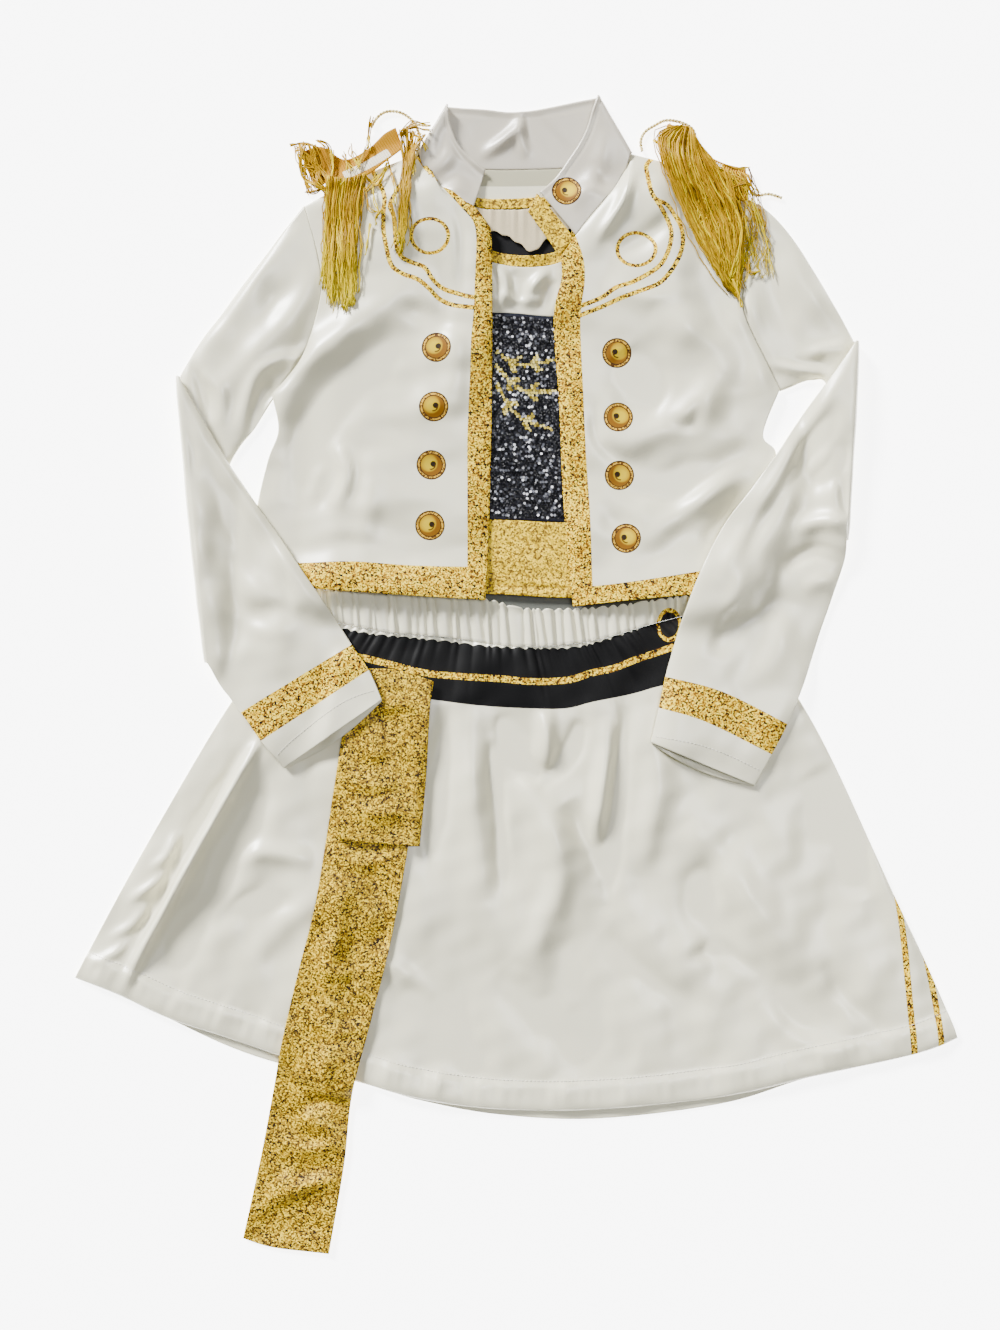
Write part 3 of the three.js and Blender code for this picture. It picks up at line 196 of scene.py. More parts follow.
# Folds: a soft ridge or trough along a curve through three points, with its half width and its height
SKIRT_FOLDS = [
    (-197, -47, -242, -127, -307, -246, 6, 9.8), (-207, -52, -249, -126, -294, -211, 8, -4.5),
    (-179, -58, -225, -146, -277, -242, 16, -4.5), (-52, -20, -58, -82, -68, -146, 11, -5.1),
    (-35, -20, -32, -98, -23, -179, 13, 4.8), (-20, -47, -12, -109, -9, -164, 6, -3.9),
    (-10, -29, -2, -60, 22, -83, 8, -5.4), (52, -34, 44, -60, 23, -83, 8, -5.4),
    (23, -26, 24, -47, 26, -73, 9, 5.1), (2, -74, 35, -152, 4, -229, 15, 5.4),
    (37, -98, 57, -129, 68, -160, 12, -4.8), (73, -31, 69, -78, 58, -144, 9, 5.1),
    (88, -20, 80, -98, 71, -179, 8, -4.5), (105, -20, 109, -90, 98, -160, 14, 3.6),
    (130, -113, 176, -168, 227, -242, 20, 5.1), (188, -105, 144, -176, 168, -254, 16, -2.4),
    (227, -74, 258, -121, 274, -176, 18, -5.1), (255, -66, 294, -160, 320, -254, 12, 3.9),
    (-82, -230, -51, -277, -35, -324, 22, -3.6), (-12, -226, 35, -277, 98, -300, 26, -3.9),
    (66, -199, 113, -242, 160, -261, 14, -2.4), (-144, -160, -176, -191, -207, -214, 14, 2.4),
    (-222, -152, -197, -138, -154, -146, 10, 3), (-238, -199, -207, -176, -168, -179, 9, -2.1),
    (-263, -121, -271, -141, -285, -151, 5, 2.2), (-271, -154, -285, -166, -302, -176, 5, 2.3),
    (-285, -179, -299, -195, -317, -205, 5, 2.2), (-302, -205, -311, -216, -330, -224, 5, 1.9),
    (-127, -66, -105, -136, -113, -222, 10, -2.7), (-121, -218, -90, -230, -58, -254, 10, 2.1),
    (191, -254, 222, -285, 269, -292, 12, 2.1), (133, -222, 160, -214, 191, -234, 7, -1.8),
    (238, -222, 261, -254, 289, -277, 8, -1.8), (-261, -260, -255, -246, -252, -234, 6, 0.6),
    (-229, -272, -224, -257, -218, -246, 6, 0.7), (-197, -283, -191, -269, -190, -255, 6, 0.6),
    (-105, -320, -96, -302, -91, -291, 9, 0.9), (-66, -330, -58, -314, -57, -300, 9, 0.8),
    (35, -336, 40, -322, 38, -308, 10, 0.8), (136, -324, 140, -308, 136, -296, 10, 0.7),
]
FRONT_RIGHT_FOLDS = [
    (-74, 299, -151, 252, -207, 179, 17, 5.5), (-58, 278, -127, 230, -177, 160, 24, -4.2),
    (-144, 214, -161, 174, -174, 132, 16, -3.6), (-138, 179, -130, 155, -140, 127, 8, 3.4),
    (-147, 177, -144, 152, -154, 130, 6, -2.6), (-112, 179, -112, 136, -119, 99, 12, 1.8),
    (-94, 191, -66, 211, -35, 216, 20, 2.2), (-57, 292, -46, 254, -49, 214, 12, 1.8),
    (-96, 292, -66, 278, -37, 269, 10, -2), (-86, 378, -80, 347, -90, 322, 9, 2.2),
    (-49, 367, -41, 339, -41, 292, 6, -1.8), (-62, 322, -54, 292, -58, 263, 9, -1.6),
    (-168, 105, -129, 112, -90, 101, 10, 1.4), (-144, 292, -133, 322, -127, 351, 10, 2.2),
]
FRONT_LEFT_FOLDS = [
    (69, 177, 116, 190, 165, 229, 15, 3.8), (165, 221, 157, 254, 105, 283, 18, 3),
    (80, 252, 98, 226, 119, 211, 22, -4.2), (144, 216, 136, 195, 113, 196, 8, -2.2),
    (69, 154, 119, 147, 197, 182, 16, -4.2), (66, 136, 76, 121, 98, 115, 12, -1.8),
    (98, 99, 136, 130, 185, 163, 13, 3.8), (144, 101, 172, 121, 185, 136, 10, -2),
    (91, 394, 83, 366, 63, 336, 6, 3), (105, 389, 113, 363, 136, 342, 14, 2.6),
    (76, 325, 105, 342, 126, 363, 9, -2.8), (66, 303, 104, 292, 136, 300, 9, 1.8),
    (154, 292, 185, 261, 190, 214, 14, 2.4), (179, 292, 200, 254, 211, 214, 9, -2.2),
    (62, 214, 66, 180, 98, 160, 7, -2),
]
UPPER_RIGHT_FOLDS = [
    (-144, 332, -176, 277, -238, 214, 14, 2.4), (-160, 292, -168, 254, -207, 214, 9, -2),
    (-186, 335, -221, 280, -247, 254, 14, 1.8), (-144, 252, -197, 236, -216, 183, 8, 3),
    (-152, 230, -193, 218, -205, 183, 8, -2.8), (-193, 236, -176, 211, -165, 186, 7, 2),
    (-254, 246, -242, 221, -239, 195, 6, -2.2), (-246, 236, -229, 221, -229, 191, 7, 1.8),
    (-168, 307, -186, 292, -199, 268, 10, -1.4),
]
UPPER_LEFT_FOLDS = [
    (177, 314, 186, 261, 205, 244, 9, 3), (193, 332, 205, 285, 222, 249, 12, -2.2),
    (197, 244, 177, 230, 185, 190, 9, 2.6), (207, 236, 194, 214, 205, 191, 7, -2.2),
    (211, 332, 232, 292, 252, 263, 12, 2), (222, 241, 238, 252, 260, 255, 7, 2),
    (214, 241, 235, 244, 250, 236, 6, -1.6), (194, 243, 216, 238, 244, 233, 5, 2.8),
]
FORE_RIGHT_FOLDS = [
    (-254, 213, -214, 147, -154, 51, 9, 3.4), (-241, 160, -205, 99, -168, 49, 14, -3),
    (-249, 152, -242, 82, -229, 20, 16, 2.2), (-221, 105, -197, 58, -168, 20, 16, 1.8),
    (-246, 121, -225, 90, -197, 80, 10, -1.4), (-229, 58, -197, 34, -168, 35, 8, 1.2),
    (-200, 121, -179, 78, -174, 35, 6, -1.2), (-257, 191, -249, 174, -249, 151, 6, -1.6),
]
FORE_LEFT_FOLDS = [
    (258, 244, 222, 183, 157, 74, 9, 3.4), (254, 213, 214, 160, 172, 93, 12, -3.4),
    (255, 183, 247, 160, 222, 144, 11, -3), (216, 112, 238, 119, 261, 115, 9, 4.2),
    (207, 82, 232, 96, 258, 88, 8, -3.4), (222, 66, 238, 73, 255, 68, 9, 2),
    (252, 157, 255, 136, 258, 121, 6, -2.2), (199, 58, 168, 43, 154, 12, 14, -2.2),
    (214, 58, 200, 12, 172, -12, 14, 2.2), (177, 83, 168, 58, 144, 20, 9, 1.6),
    (199, 121, 191, 90, 205, 58, 10, 1.6),
]
COLLAR_BACK_FOLDS = [
    (5, 442, 1, 425, -27, 403, 6, 3), (7, 441, 20, 421, 40, 403, 8, -2.6),
    (-4, 439, -18, 427, -35, 419, 8, -2.2), (7, 431, 5, 417, 10, 402, 5, 1.8),
]
COLLAR_FRONT_FOLDS = [
    (-46, 410, -58, 395, -71, 389, 8, 1.6), (-49, 433, -57, 417, -58, 402, 5, -1.2),
    (-41, 388, -49, 374, -52, 358, 6, 1.4), (71, 425, 63, 389, 40, 360, 10, 2),
    (60, 402, 69, 385, 76, 370, 7, -1.2),
]
YOKE_FOLDS = [
    (-15, 322, -7, 303, -12, 282, 5, 2.8), (-2, 316, 4, 296, -1, 280, 6, -2.4),
    (26, 317, 15, 303, 7, 292, 6, 3.2), (32, 308, 26, 294, 20, 282, 5, -2.2),
    (-13, 296, 4, 291, 23, 292, 6, 2.2), (-23, 316, -20, 300, -13, 285, 4, 2),
]
TAIL_FOLDS = [
    (-132, -151, -138, -191, -151, -254, 9, 2.6), (-116, -176, -127, -238, -130, -300, 8, -1.8),
    (-144, -285, -147, -310, -141, -335, 7, 2), (-171, -324, -158, -347, -130, -360, 9, 2.2),
    (-186, -378, -163, -388, -130, -378, 8, -2), (-197, -414, -168, -399, -136, -391, 8, 2.8),
    (-200, -430, -174, -427, -144, -434, 7, -2), (-168, -307, -144, -324, -116, -317, 7, 2.2),
    (-174, -346, -154, -332, -127, -335, 6, -2), (-183, -363, -160, -370, -132, -361, 6, 2.2),
    (-154, -222, -136, -232, -112, -224, 8, 1.6), (-144, -246, -127, -258, -112, -255, 7, -1.6),
    (-158, -269, -138, -277, -118, -271, 7, 1.6), (-140, -135, -121, -146, -96, -141, 8, 1.6),
    (-191, -402, -176, -391, -168, -370, 6, 1.8),
]
SHORT_TAIL_FOLDS = [
    (-127, -20, -108, -51, -112, -90, 10, 1.6), (-90, -12, -91, -58, -83, -113, 8, -1.4),
    (-127, -98, -105, -107, -80, -102, 8, 1.6), (-121, -12, -102, -24, -74, -20, 7, 1.6),
    (-130, -60, -112, -71, -87, -65, 7, -1.4), (-132, -80, -108, -87, -83, -80, 6, 1.4),
]

# Printed lines
BAND_RIGHT = [
    (-40, 360), (-32, 350), (-30, 335), (-31, 309), (-32, 283), (-34, 261), (-35, 232), (-37, 186),
    (-37, 142), (-37, 112), (-37, 49),
]
HEM_RIGHT = [(-207, 88), (-170, 87), (-126, 88), (-81, 85), (-37, 84), (-12, 84)]
SCROLL_RIGHT_OUTER = [
    (-116, 402), (-102, 374), (-102, 359), (-102, 345), (-100, 333), (-96, 318), (-87, 311),
    (-76, 307), (-67, 300), (-59, 292), (-48, 287), (-35, 285), (-27, 284),
]
SCROLL_RIGHT_INNER = [
    (-82, 392), (-91, 376), (-97, 364), (-94, 356), (-93, 345), (-92, 333), (-88, 324), (-80, 320),
    (-70, 316), (-64, 307), (-56, 300), (-45, 296), (-35, 293), (-27, 292),
]
BAND_LEFT = [
    (35, 367), (47, 340), (53, 322), (54, 305), (51, 283), (51, 261), (53, 217), (55, 172),
    (58, 127), (60, 72), (61, 43),
]
HEM_LEFT = [(35, 69), (60, 69), (95, 73), (146, 81), (191, 90)]
SCROLL_LEFT_OUTER = [
    (107, 417), (107, 404), (102, 396), (103, 387), (105, 375), (109, 368), (118, 364), (124, 356),
    (129, 346), (130, 335), (127, 324), (120, 312), (111, 303), (96, 297), (82, 292), (66, 285),
    (48, 278),
]
SCROLL_LEFT_INNER = [
    (108, 369), (114, 360), (119, 351), (121, 340), (118, 327), (112, 317), (102, 310), (90, 304),
    (78, 300), (66, 292), (48, 285),
]
BELT_TOP = [
    (-176, 49), (-152, 41), (-133, 36), (-112, 32), (-81, 29), (-51, 26), (-27, 23), (5, 21), (41, 21),
    (62, 25), (87, 33), (109, 41), (129, 49), (168, 63),
]
BELT_BOTTOM = [
    (-183, 12), (-152, -1), (-113, -12), (-65, -19), (-25, -24), (12, -26), (40, -26), (60, -21),
    (90, -15), (111, -9), (144, -1), (176, 12),
]
BELT_LINE = [
    (-176, 30), (-129, 16), (-112, 12), (-96, 8), (-66, 1), (-27, -2), (-9, -3), (12, -5),
    (40, -4), (61, 2), (76, 5), (94, 12), (115, 19), (136, 27), (176, 44),
]
STRIPE_INNER = [(298, -176), (303, -211), (307, -254), (311, -297)]
STRIPE_OUTER = [(320, -218), (325, -242), (329, -265), (333, -300)]
CUFF_RIGHT_TOP = [(-230, -41), (-211, -28), (-126, 24), (-105, 37)]
CUFF_RIGHT_BOTTOM = [(-214, -62), (-197, -51), (-113, 4), (-98, 14)]
CUFF_LEFT_TOP = [(90, 6), (116, -1), (161, -13), (211, -38), (230, -48)]
CUFF_LEFT_BOTTOM = [(90, -19), (110, -25), (147, -36), (198, -61), (214, -69)]
BUTTONS_RIGHT = [(-61, 254), (-63, 208), (-65, 163), (-66, 116)]
BUTTONS_LEFT = [(79, 250), (80, 200), (81, 155), (86, 106)]
COLLAR_BUTTON = [(40, 376)]
RING_RIGHT = (-66, 340)
RING_LEFT = (94, 330)
BUCKLE = (120, 39)

# Stitch lines
CUFF_RIGHT_STITCHING = [(-186, -64), (-171, -49), (-133, -21), (-106, -11)]
CUFF_LEFT_STITCHING = [(105, -47), (139, -53), (165, -62), (190, -74)]
HEM_BAND_STITCHING = [(-74, 68), (-23, 69), (39, 69), (98, 68)]

# Fringe: bunches between guide threads, which run root, knee, middle, tip
MAIN_BUNCH_RIGHT = [
    (-146, 388, -147, 370, -147, 339, -151, 305), (-140, 386, -142, 363, -144, 330, -144, 286),
    (-132, 385, -135, 361, -134, 327, -133, 282), (-124, 386, -129, 361, -128, 327, -128, 283),
    (-115, 389, -119, 367, -123, 335, -123, 288),
]
NECK_BUNCH_RIGHT = [
    (-90, 424, -87, 405, -88, 366, -90, 325), (-83, 425, -83, 405, -86, 366, -89, 324),
    (-69, 419, -80, 400, -83, 367, -86, 328),
]
END_BUNCH_RIGHT = [
    (-172, 412, -169, 402, -165, 388, -161, 376), (-165, 414, -162, 402, -158, 388, -154, 376),
    (-155, 413, -152, 402, -151, 388, -147, 378),
]
MAIN_BUNCH_LEFT = [
    (126, 427, 110, 414, 136, 347, 166, 299), (130, 427, 119, 408, 144, 346, 169, 296),
    (135, 426, 136, 394, 157, 349, 172, 292), (138, 423, 149, 391, 167, 352, 174, 296),
    (140, 418, 161, 388, 177, 353, 176, 308),
]
END_BUNCH_LEFT = [
    (161, 392, 168, 372, 176, 349, 179, 319), (173, 392, 180, 372, 185, 344, 182, 308),
    (183, 389, 191, 367, 197, 339, 200, 308),
]
# Single threads and small bunches: three points, how many, how far apart, how light
WISPS_RIGHT = [
    (-112, 433, -114, 424, -114, 410, 5, 2.2, 0.35), (-127, 411, -126, 403, -122, 395, 5, 3, 0.6),
    (-133, 405, -130, 399, -127, 391, 4, 3, 0.5), (-115, 410, -119, 402, -122, 392, 4, 2.5, 0.4),
    (-110, 377, -108, 364, -105, 356, 2, 1, 0.9), (-116, 374, -112, 360, -102, 358, 2, 1, 0.5),
    (-112, 349, -114, 336, -115, 325, 3, 1.2, 0.9), (-102, 360, -108, 353, -107, 349, 3, 1.4, 0.8),
    (-99, 400, -94, 381, -93, 363, 3, 1.6, 0.5), (-96, 367, -93, 352, -90, 333, 3, 1.6, 0.5),
    (-132, 381, -126, 374, -118, 385, 5, 2.2, 0.8), (-124, 385, -116, 375, -107, 389, 5, 2.2, 0.7),
    (-115, 386, -107, 380, -98, 397, 5, 2.2, 0.8), (-141, 383, -133, 374, -126, 383, 4, 2.2, 0.6),
    (-154, 381, -144, 372, -135, 378, 4, 2.2, 0.7),
]
WISPS_RIGHT_NECK = [
    (-90, 420, -79, 430, -66, 427, 3, 1.2, 0.3), (-87, 424, -77, 425, -66, 422, 3, 1.2, 0.2),
    (-82, 422, -74, 417, -69, 408, 4, 2, 0.4), (-85, 410, -79, 402, -79, 389, 4, 2, 0.5),
]
WISPS_RIGHT_END = [
    (-174, 413, -165, 414, -155, 410, 5, 1.6, 0.2), (-171, 410, -158, 402, -143, 381, 5, 2.5, 0.5),
    (-163, 413, -166, 394, -160, 377, 4, 2.5, 0.4), (-154, 417, -146, 411, -143, 392, 6, 2.2, 0.15),
    (-168, 405, -163, 388, -146, 377, 5, 2.2, 0.7), (-143, 408, -141, 392, -144, 378, 5, 2.2, 0.8),
    (-163, 377, -154, 375, -143, 380, 4, 1.6, 0.2), (-166, 397, -155, 392, -151, 380, 4, 2.2, 0.3),
]
WISPS_LEFT = [
    (121, 427, 136, 403, 161, 392, 8, 3, 0.8), (116, 424, 126, 394, 144, 378, 8, 4, 1),
    (135, 422, 122, 402, 136, 363, 8, 4, 0.9), (141, 410, 136, 378, 154, 339, 8, 4, 0.1),
    (126, 417, 144, 370, 140, 346, 8, 4, 0.95), (154, 386, 146, 355, 166, 317, 8, 4, 0.9),
    (144, 370, 161, 342, 158, 322, 7, 4, 0.1), (160, 378, 174, 347, 168, 308, 7, 3, 1),
    (109, 416, 124, 402, 130, 370, 6, 2.5, 0.8), (133, 417, 138, 403, 132, 383, 3, 1.2, 0.9),
    (161, 395, 165, 374, 157, 342, 5, 2, 0.9), (163, 394, 169, 367, 171, 316, 6, 2.5, 0.4),
    (152, 358, 144, 352, 135, 347, 2, 0.8, 0.9), (169, 307, 173, 296, 176, 285, 4, 0.8, 0.8),
    (149, 389, 154, 374, 151, 355, 4, 1.6, 0.9),
]
WISPS_LEFT_END = [
    (161, 397, 172, 394, 182, 395, 5, 1.6, 0.3), (182, 395, 186, 385, 189, 375, 4, 1.4, 0.1),
    (166, 378, 179, 381, 188, 374, 5, 2, 0.2), (165, 392, 174, 383, 185, 372, 4, 2.2, 0.7),
    (183, 370, 193, 347, 200, 310, 3, 3, 1), (179, 319, 183, 313, 189, 314, 4, 1.6, 0.6),
    (182, 322, 180, 311, 179, 305, 3, 1.4, 0.6),
]
CORD_RIGHT = [
    (-112, 427), (-108, 434), (-101, 439), (-91, 439), (-82, 434), (-76, 425), (-74, 415), (-77, 403),
    (-83, 392),
]
CORD_RIGHT_BEHIND = [(-88, 424), (-82, 428), (-74, 429), (-66, 427)]
CORD_LEFT = [
    (99, 408), (98, 416), (101, 423), (108, 428), (117, 432), (127, 431), (136, 427), (140, 421),
    (139, 413),
]
CORD_LEFT_END = [(177, 386), (182, 378), (189, 374), (198, 375), (208, 372)]
WINDOW_RIGHT = [(-133, 388), (-116, 396), (-98, 407)]
WINDOW_LEFT = [(144, 402), (154, 397), (161, 394)]
# The spray on the sequins: three points on each of its stems
SPRIG_STEMS = [
    (-15, 252, 4, 241, 32, 246), (-15, 241, 5, 222, 32, 221),
    (-15, 227, 2, 202, 29, 191),
]


# Curves


def curve_through(points, steps=CURVE_STEPS):
    """A smooth curve through rows of numbers, with the same number of steps between each two rows."""
    points = np.asarray(points, float)
    last = len(points) - 1
    place = np.linspace(0, last, last * steps + 1)
    index = np.minimum(place.astype(int), last - 1)
    share = (place - index)[:, None]
    before, start = points[np.maximum(index - 1, 0)], points[index]
    end, after = points[index + 1], points[np.minimum(index + 2, last)]
    leaving, arriving = (end - before) / 2, (after - start) / 2
    cubic = (2 * start - 2 * end + leaving + arriving) * share**3
    square = (3 * end - 3 * start - 2 * leaving - arriving) * share**2
    return cubic + square + leaving * share + start


def curve_of(row, steps=LINE_STEPS):
    """The curve through the three points that a table's row begins with."""
    return curve_through(np.reshape(row[:6], (3, 2)), steps)


def smooth_line(outline):
    """The line through an outline's points, smooth between its corners."""
    line, stretch = [], []
    for index, point in enumerate(outline):
        stretch.append(point[:2])
        if (len(point) > 2 or index == len(outline) - 1) and len(stretch) > 1:
            smooth = curve_through(stretch)
            line.append(smooth[1:] if line else smooth)
            stretch = [stretch[-1]]
    return np.concatenate(line)


def join(*lines):
    return np.concatenate([lines[0]] + [line[1:] for line in lines[1:]])


def unit(vectors):
    return vectors / np.linalg.norm(vectors, axis=-1, keepdims=True)


def lengths(line):
    """How far along a line each of its points is."""
    steps = np.linalg.norm(np.diff(line, axis=0), axis=1)
    return np.concatenate(([0], np.cumsum(steps)))


def at_shares(line, shares, corners=()):
    """The points at shares of a line's length, with the nearest one moved onto each corner."""
    along = lengths(line)
    points = np.stack([np.interp(shares * along[-1], along, column) for column in line.T], axis=1)
    for corner in corners:
        apart = np.linalg.norm(points - corner, axis=1)
        if apart.min() < FACET + 1:
            points[np.argmin(apart)] = corner
    return points


def spread(length, facet=FACET, rims=(True, True)):
    """Shares of a length, a facet apart and closer at its rims."""
    start = np.array(RIM_STEPS if rims[0] else ())
    end = length - np.array(RIM_STEPS[::-1] if rims[1] else ())
    first, last = (start[-1] if rims[0] else 0), (end[0] if rims[1] else length)
    middle = np.linspace(first, last, max(2, round((last - first) / facet)) + 1)
    places = np.concatenate(([0], start[:-1], middle if rims[0] else middle[1:]))
    places = np.concatenate((places, end[1:], [length])) if rims[1] else places
    return places / length


def place_on(line, x, y, extend=0.0):
    """How far points lie to the left of a line, and how far along it the nearest place is."""
    line = np.asarray([point[:2] for point in line], float)
    if extend:
        start = line[0] + unit(line[0] - line[1]) * extend
        end = line[-1] + unit(line[-1] - line[-2]) * extend
        line = np.concatenate(([start], line, [end]))
    away = np.full(x.shape, np.inf)
    side, along = np.ones(x.shape), np.zeros(x.shape)
    passed = 0.0
    for (ax, ay), (bx, by) in zip(line[:-1], line[1:]):
        dx, dy = bx - ax, by - ay
        length = math.hypot(dx, dy)
        share = np.clip(((x - ax) * dx + (y - ay) * dy) / length**2, 0, 1)
        ex, ey = x - ax - share * dx, y - ay - share * dy
        apart = np.hypot(ex, ey)
        nearer = apart < away
        away = np.where(nearer, apart, away)
        side = np.where(nearer, np.sign(dx * ey - dy * ex), side)
        along = np.where(nearer, passed + share * length, along)
        passed += length
    return away * side, along - extend


# The stack of cloth


class Stack:
    """The height of the cloth that is already laid, over a grid of square cells."""

    cell = 2.0
    half_x = 380
    half_y = 490
    thirds = (0, 1 / 3, 2 / 3, 1)

    def __init__(self):
        self.high = np.zeros((int(2 * self.half_y / self.cell), int(2 * self.half_x / self.cell)))

    def envelope(self, reach):
        """The stack's height with its steps softened, and nowhere lower than the stack."""
        field = self.high
        for axis in (0, 1):
            widest = field
            for step in range(1, reach + 1):
                shifted = np.maximum(np.roll(field, step, axis), np.roll(field, -step, axis))
                widest = np.maximum(widest, shifted)
            field = widest
        weights = np.hanning(2 * reach + 3)[1:-1]
        weights /= weights.sum()
        for axis in (0, 1):
            shifts = zip(weights, range(-reach, reach + 1))
            field = sum(weight * np.roll(field, step, axis) for weight, step in shifts)
        return field

    def sample(self, field, x, y):
        column = (x + self.half_x) / self.cell - 0.5
        row = (y + self.half_y) / self.cell - 0.5
        c, r = np.floor(column).astype(int), np.floor(row).astype(int)
        u, v = column - c, row - r
        low = field[r, c] * (1 - u) + field[r, c + 1] * u
        high = field[r + 1, c] * (1 - u) + field[r + 1, c + 1] * u
        return low * (1 - v) + high * v

    def rest(self, x, y, reach):
        """The height at which cloth rests on the stack: with a little air, except on the floor."""
        below = self.sample(self.envelope(reach), x, y)
        return below + LAYER_GAP * np.clip(below / (KNIT / 2), 0, 1)

    def raise_to(self, points):
        column = ((points[..., 0] + self.half_x) / self.cell).astype(int)
        row = ((points[..., 1] + self.half_y) / self.cell).astype(int)
        np.maximum.at(self.high, (row.ravel(), column.ravel()), points[..., 2].ravel())

    def cover(self, top):
        for u in self.thirds:
            across = top[:, :-1] * (1 - u) + top[:, 1:] * u
            for v in self.thirds:
                self.raise_to(across[:-1] * (1 - v) + across[1:] * v)


stack = Stack()

# Layers of cloth


def hump(away, wide):
    """A smooth hump: 1 in its middle, and low at its width."""
    return np.exp(-((away / wide) ** 2))


def fold_height(folds, x, y):
    total = np.zeros(x.shape)
    for fold in folds:
        wide, high = fold[6:]
        line = curve_of(fold)
        away, along = place_on(line, x, y)
        taper = np.sin(np.pi * np.clip(along / lengths(line)[-1], 0.02, 0.98)) ** 0.8
        total += FOLD_SCALE * high * taper * hump(away, wide * FOLD_REACH)
    return total


# Waves of the cloth: their length, and their share of a layer's whole ripple
RIPPLES = [(120, 1.0), (70, 0.9), (38, 0.52), (21, 0.17)]
RIPPLE_DIRECTIONS = 4


def ripples(x, y, seed, high):
    """Low waves of the cloth in several directions."""
    chance = np.random.default_rng(seed)
    total = np.zeros(x.shape)
    for length, share in RIPPLES:
        for unused in range(RIPPLE_DIRECTIONS):
            angle = chance.uniform(0, math.pi)
            phase = chance.uniform(0, 2 * math.pi)
            scale = chance.uniform(0.8, 1.25)
            wave = (x * math.cos(angle) + y * math.sin(angle)) / (length * scale)
            total += high * share / 2 * np.sin(2 * math.pi * wave + phase)
    return total


def apart_along(rows, axis):
    """How far each point is from the first and from the last one along an axis of a grid."""
    steps = np.linalg.norm(np.diff(rows, axis=axis), axis=2)
    travelled = np.cumsum(steps, axis=axis)
    none = np.zeros_like(np.take(travelled, [0], axis=axis))
    travelled = np.concatenate((none, travelled), axis=axis)
    return travelled, np.take(travelled, [-1], axis=axis) - travelled


class Layer:
    """A layer of cloth: its plan, its thickness, and what lifts it above what it lies on.

    It is held down at the edges named in held: l, r, t and b for left, right, top and bottom. It follows
    the stack's steps softened over as many cells as soften says.
    """

    def __init__(
        self, rows, cloth=KNIT, loft=0.0, held="lrtb", folds=(), ripple=0.0, seed=1, lift=0.0, soften=3
    ):
        self.rows, self.cloth, self.soften = rows, cloth, soften
        self.edges = {}
        self.edges["r"], self.edges["l"] = apart_along(rows, 1)
        self.edges["b"], self.edges["t"] = apart_along(rows, 0)
        self.x, self.y = rows[..., 0], rows[..., 1]
        free = loft * (1 - np.exp(-self.inside(held) / LOFT_REACH))
        waves = fold_height(folds, self.x, self.y) + ripples(self.x, self.y, seed, ripple)
        settle = 1 - np.exp(-self.inside("lrtb") / SETTLE_REACH)
        loose = free + waves * (0.35 + 0.65 * settle)
        self.lift = lift + (loose + np.sqrt(loose**2 + 0.5)) / 2 - 0.35
        self.low = None

    def inside(self, edges):
        """How far each point is from the nearest of the edges."""
        nowhere = np.full(self.x.shape, 99.0)
        return np.minimum.reduce([self.edges[edge] for edge in edges]) if edges else nowhere

    def solid(self):
        """The layer's thickness, rounded at its edges."""
        inside = np.minimum(self.inside("lrtb") / self.cloth, 1)
        return self.cloth * (0.4 + 0.6 * np.sqrt(1 - (1 - inside) ** 2))

    def surface(self, high):
        return np.dstack((self.x, self.y, high))

    def sides(self):
        return self.top(), self.bottom()

    def bottom(self):
        return self.surface(self.low + (self.cloth - self.solid()) / 2)

    def top(self):
        return self.surface(self.low + (self.cloth + self.solid()) / 2)


def lay(*layers):
    """Lays the layers side by side on the stack, and then adds them to it."""
    for layer in layers:
        layer.low = stack.rest(layer.x, layer.y, layer.soften) + np.maximum(layer.lift, 0)
    for layer in layers:
        stack.cover(layer.top())


def inset(rows):
    """A plan drawn in by a little at each edge, so that two panels stay apart at their seam."""
    inner = rows.copy()
    for edge, neighbour in ((0, 2), (-1, -3)):
        inner[edge] += SEAM_INSET * unit(rows[neighbour] - rows[edge])
        inner[:, edge] += SEAM_INSET * unit(rows[:, neighbour] - rows[:, edge])
    return inner


def plan(bottom, top, right, left, facet=(FACET, FACET), corners=()):
    """A panel's plan between its four edges, as rows from its bottom edge to its top edge."""
    u = spread(max(lengths(bottom)[-1], lengths(top)[-1]), facet[0])
    v = spread(max(lengths(right)[-1], lengths(left)[-1]), facet[1])
    bottom, top = at_shares(bottom, u, corners), at_shares(top, u, corners)
    right, left = at_shares(right, v), at_shares(left, v)
    u, v = u[None, :, None], v[:, None, None]
    between = bottom * (1 - v) + top * v + right[:, None] * (1 - u) + left[:, None] * u
    low, high = bottom[0] * (1 - u) + bottom[-1] * u, top[0] * (1 - u) + top[-1] * u
    return inset(between - low * (1 - v) - high * v)


def panel_plan(*outlines, facet=(FACET, FACET)):
    edges = [smooth_line(outline) for outline in outlines]
    corners = [point[:2] for outline in outlines[:2] for point in outline if len(point) > 2]
    return plan(*edges, facet=facet, corners=corners)


def section_plan(sections, facet=(FACET, FACET), rims=(True, True), across=None):
    """A plan of straight sections between two smooth lines, and each row's place in their order."""
    dense = curve_through(sections)
    middle = (dense[:, :2] + dense[:, 2:4]) / 2
    along = lengths(middle)
    v = spread(along[-1], facet[1], rims)
    places = np.linspace(0, len(sections) - 1, len(dense))
    rows = np.stack([np.interp(v * along[-1], along, column) for column in dense.T], axis=1)
    if across is None:
        across = spread(np.linalg.norm(rows[:, 2:4] - rows[:, :2], axis=1).max(), facet[0])
    u = across[None, :, None]
    grid = rows[:, None, :2] * (1 - u) + rows[:, None, 2:4] * u
    return grid, np.interp(v * along[-1], along, places)


# Surfaces to closed walls


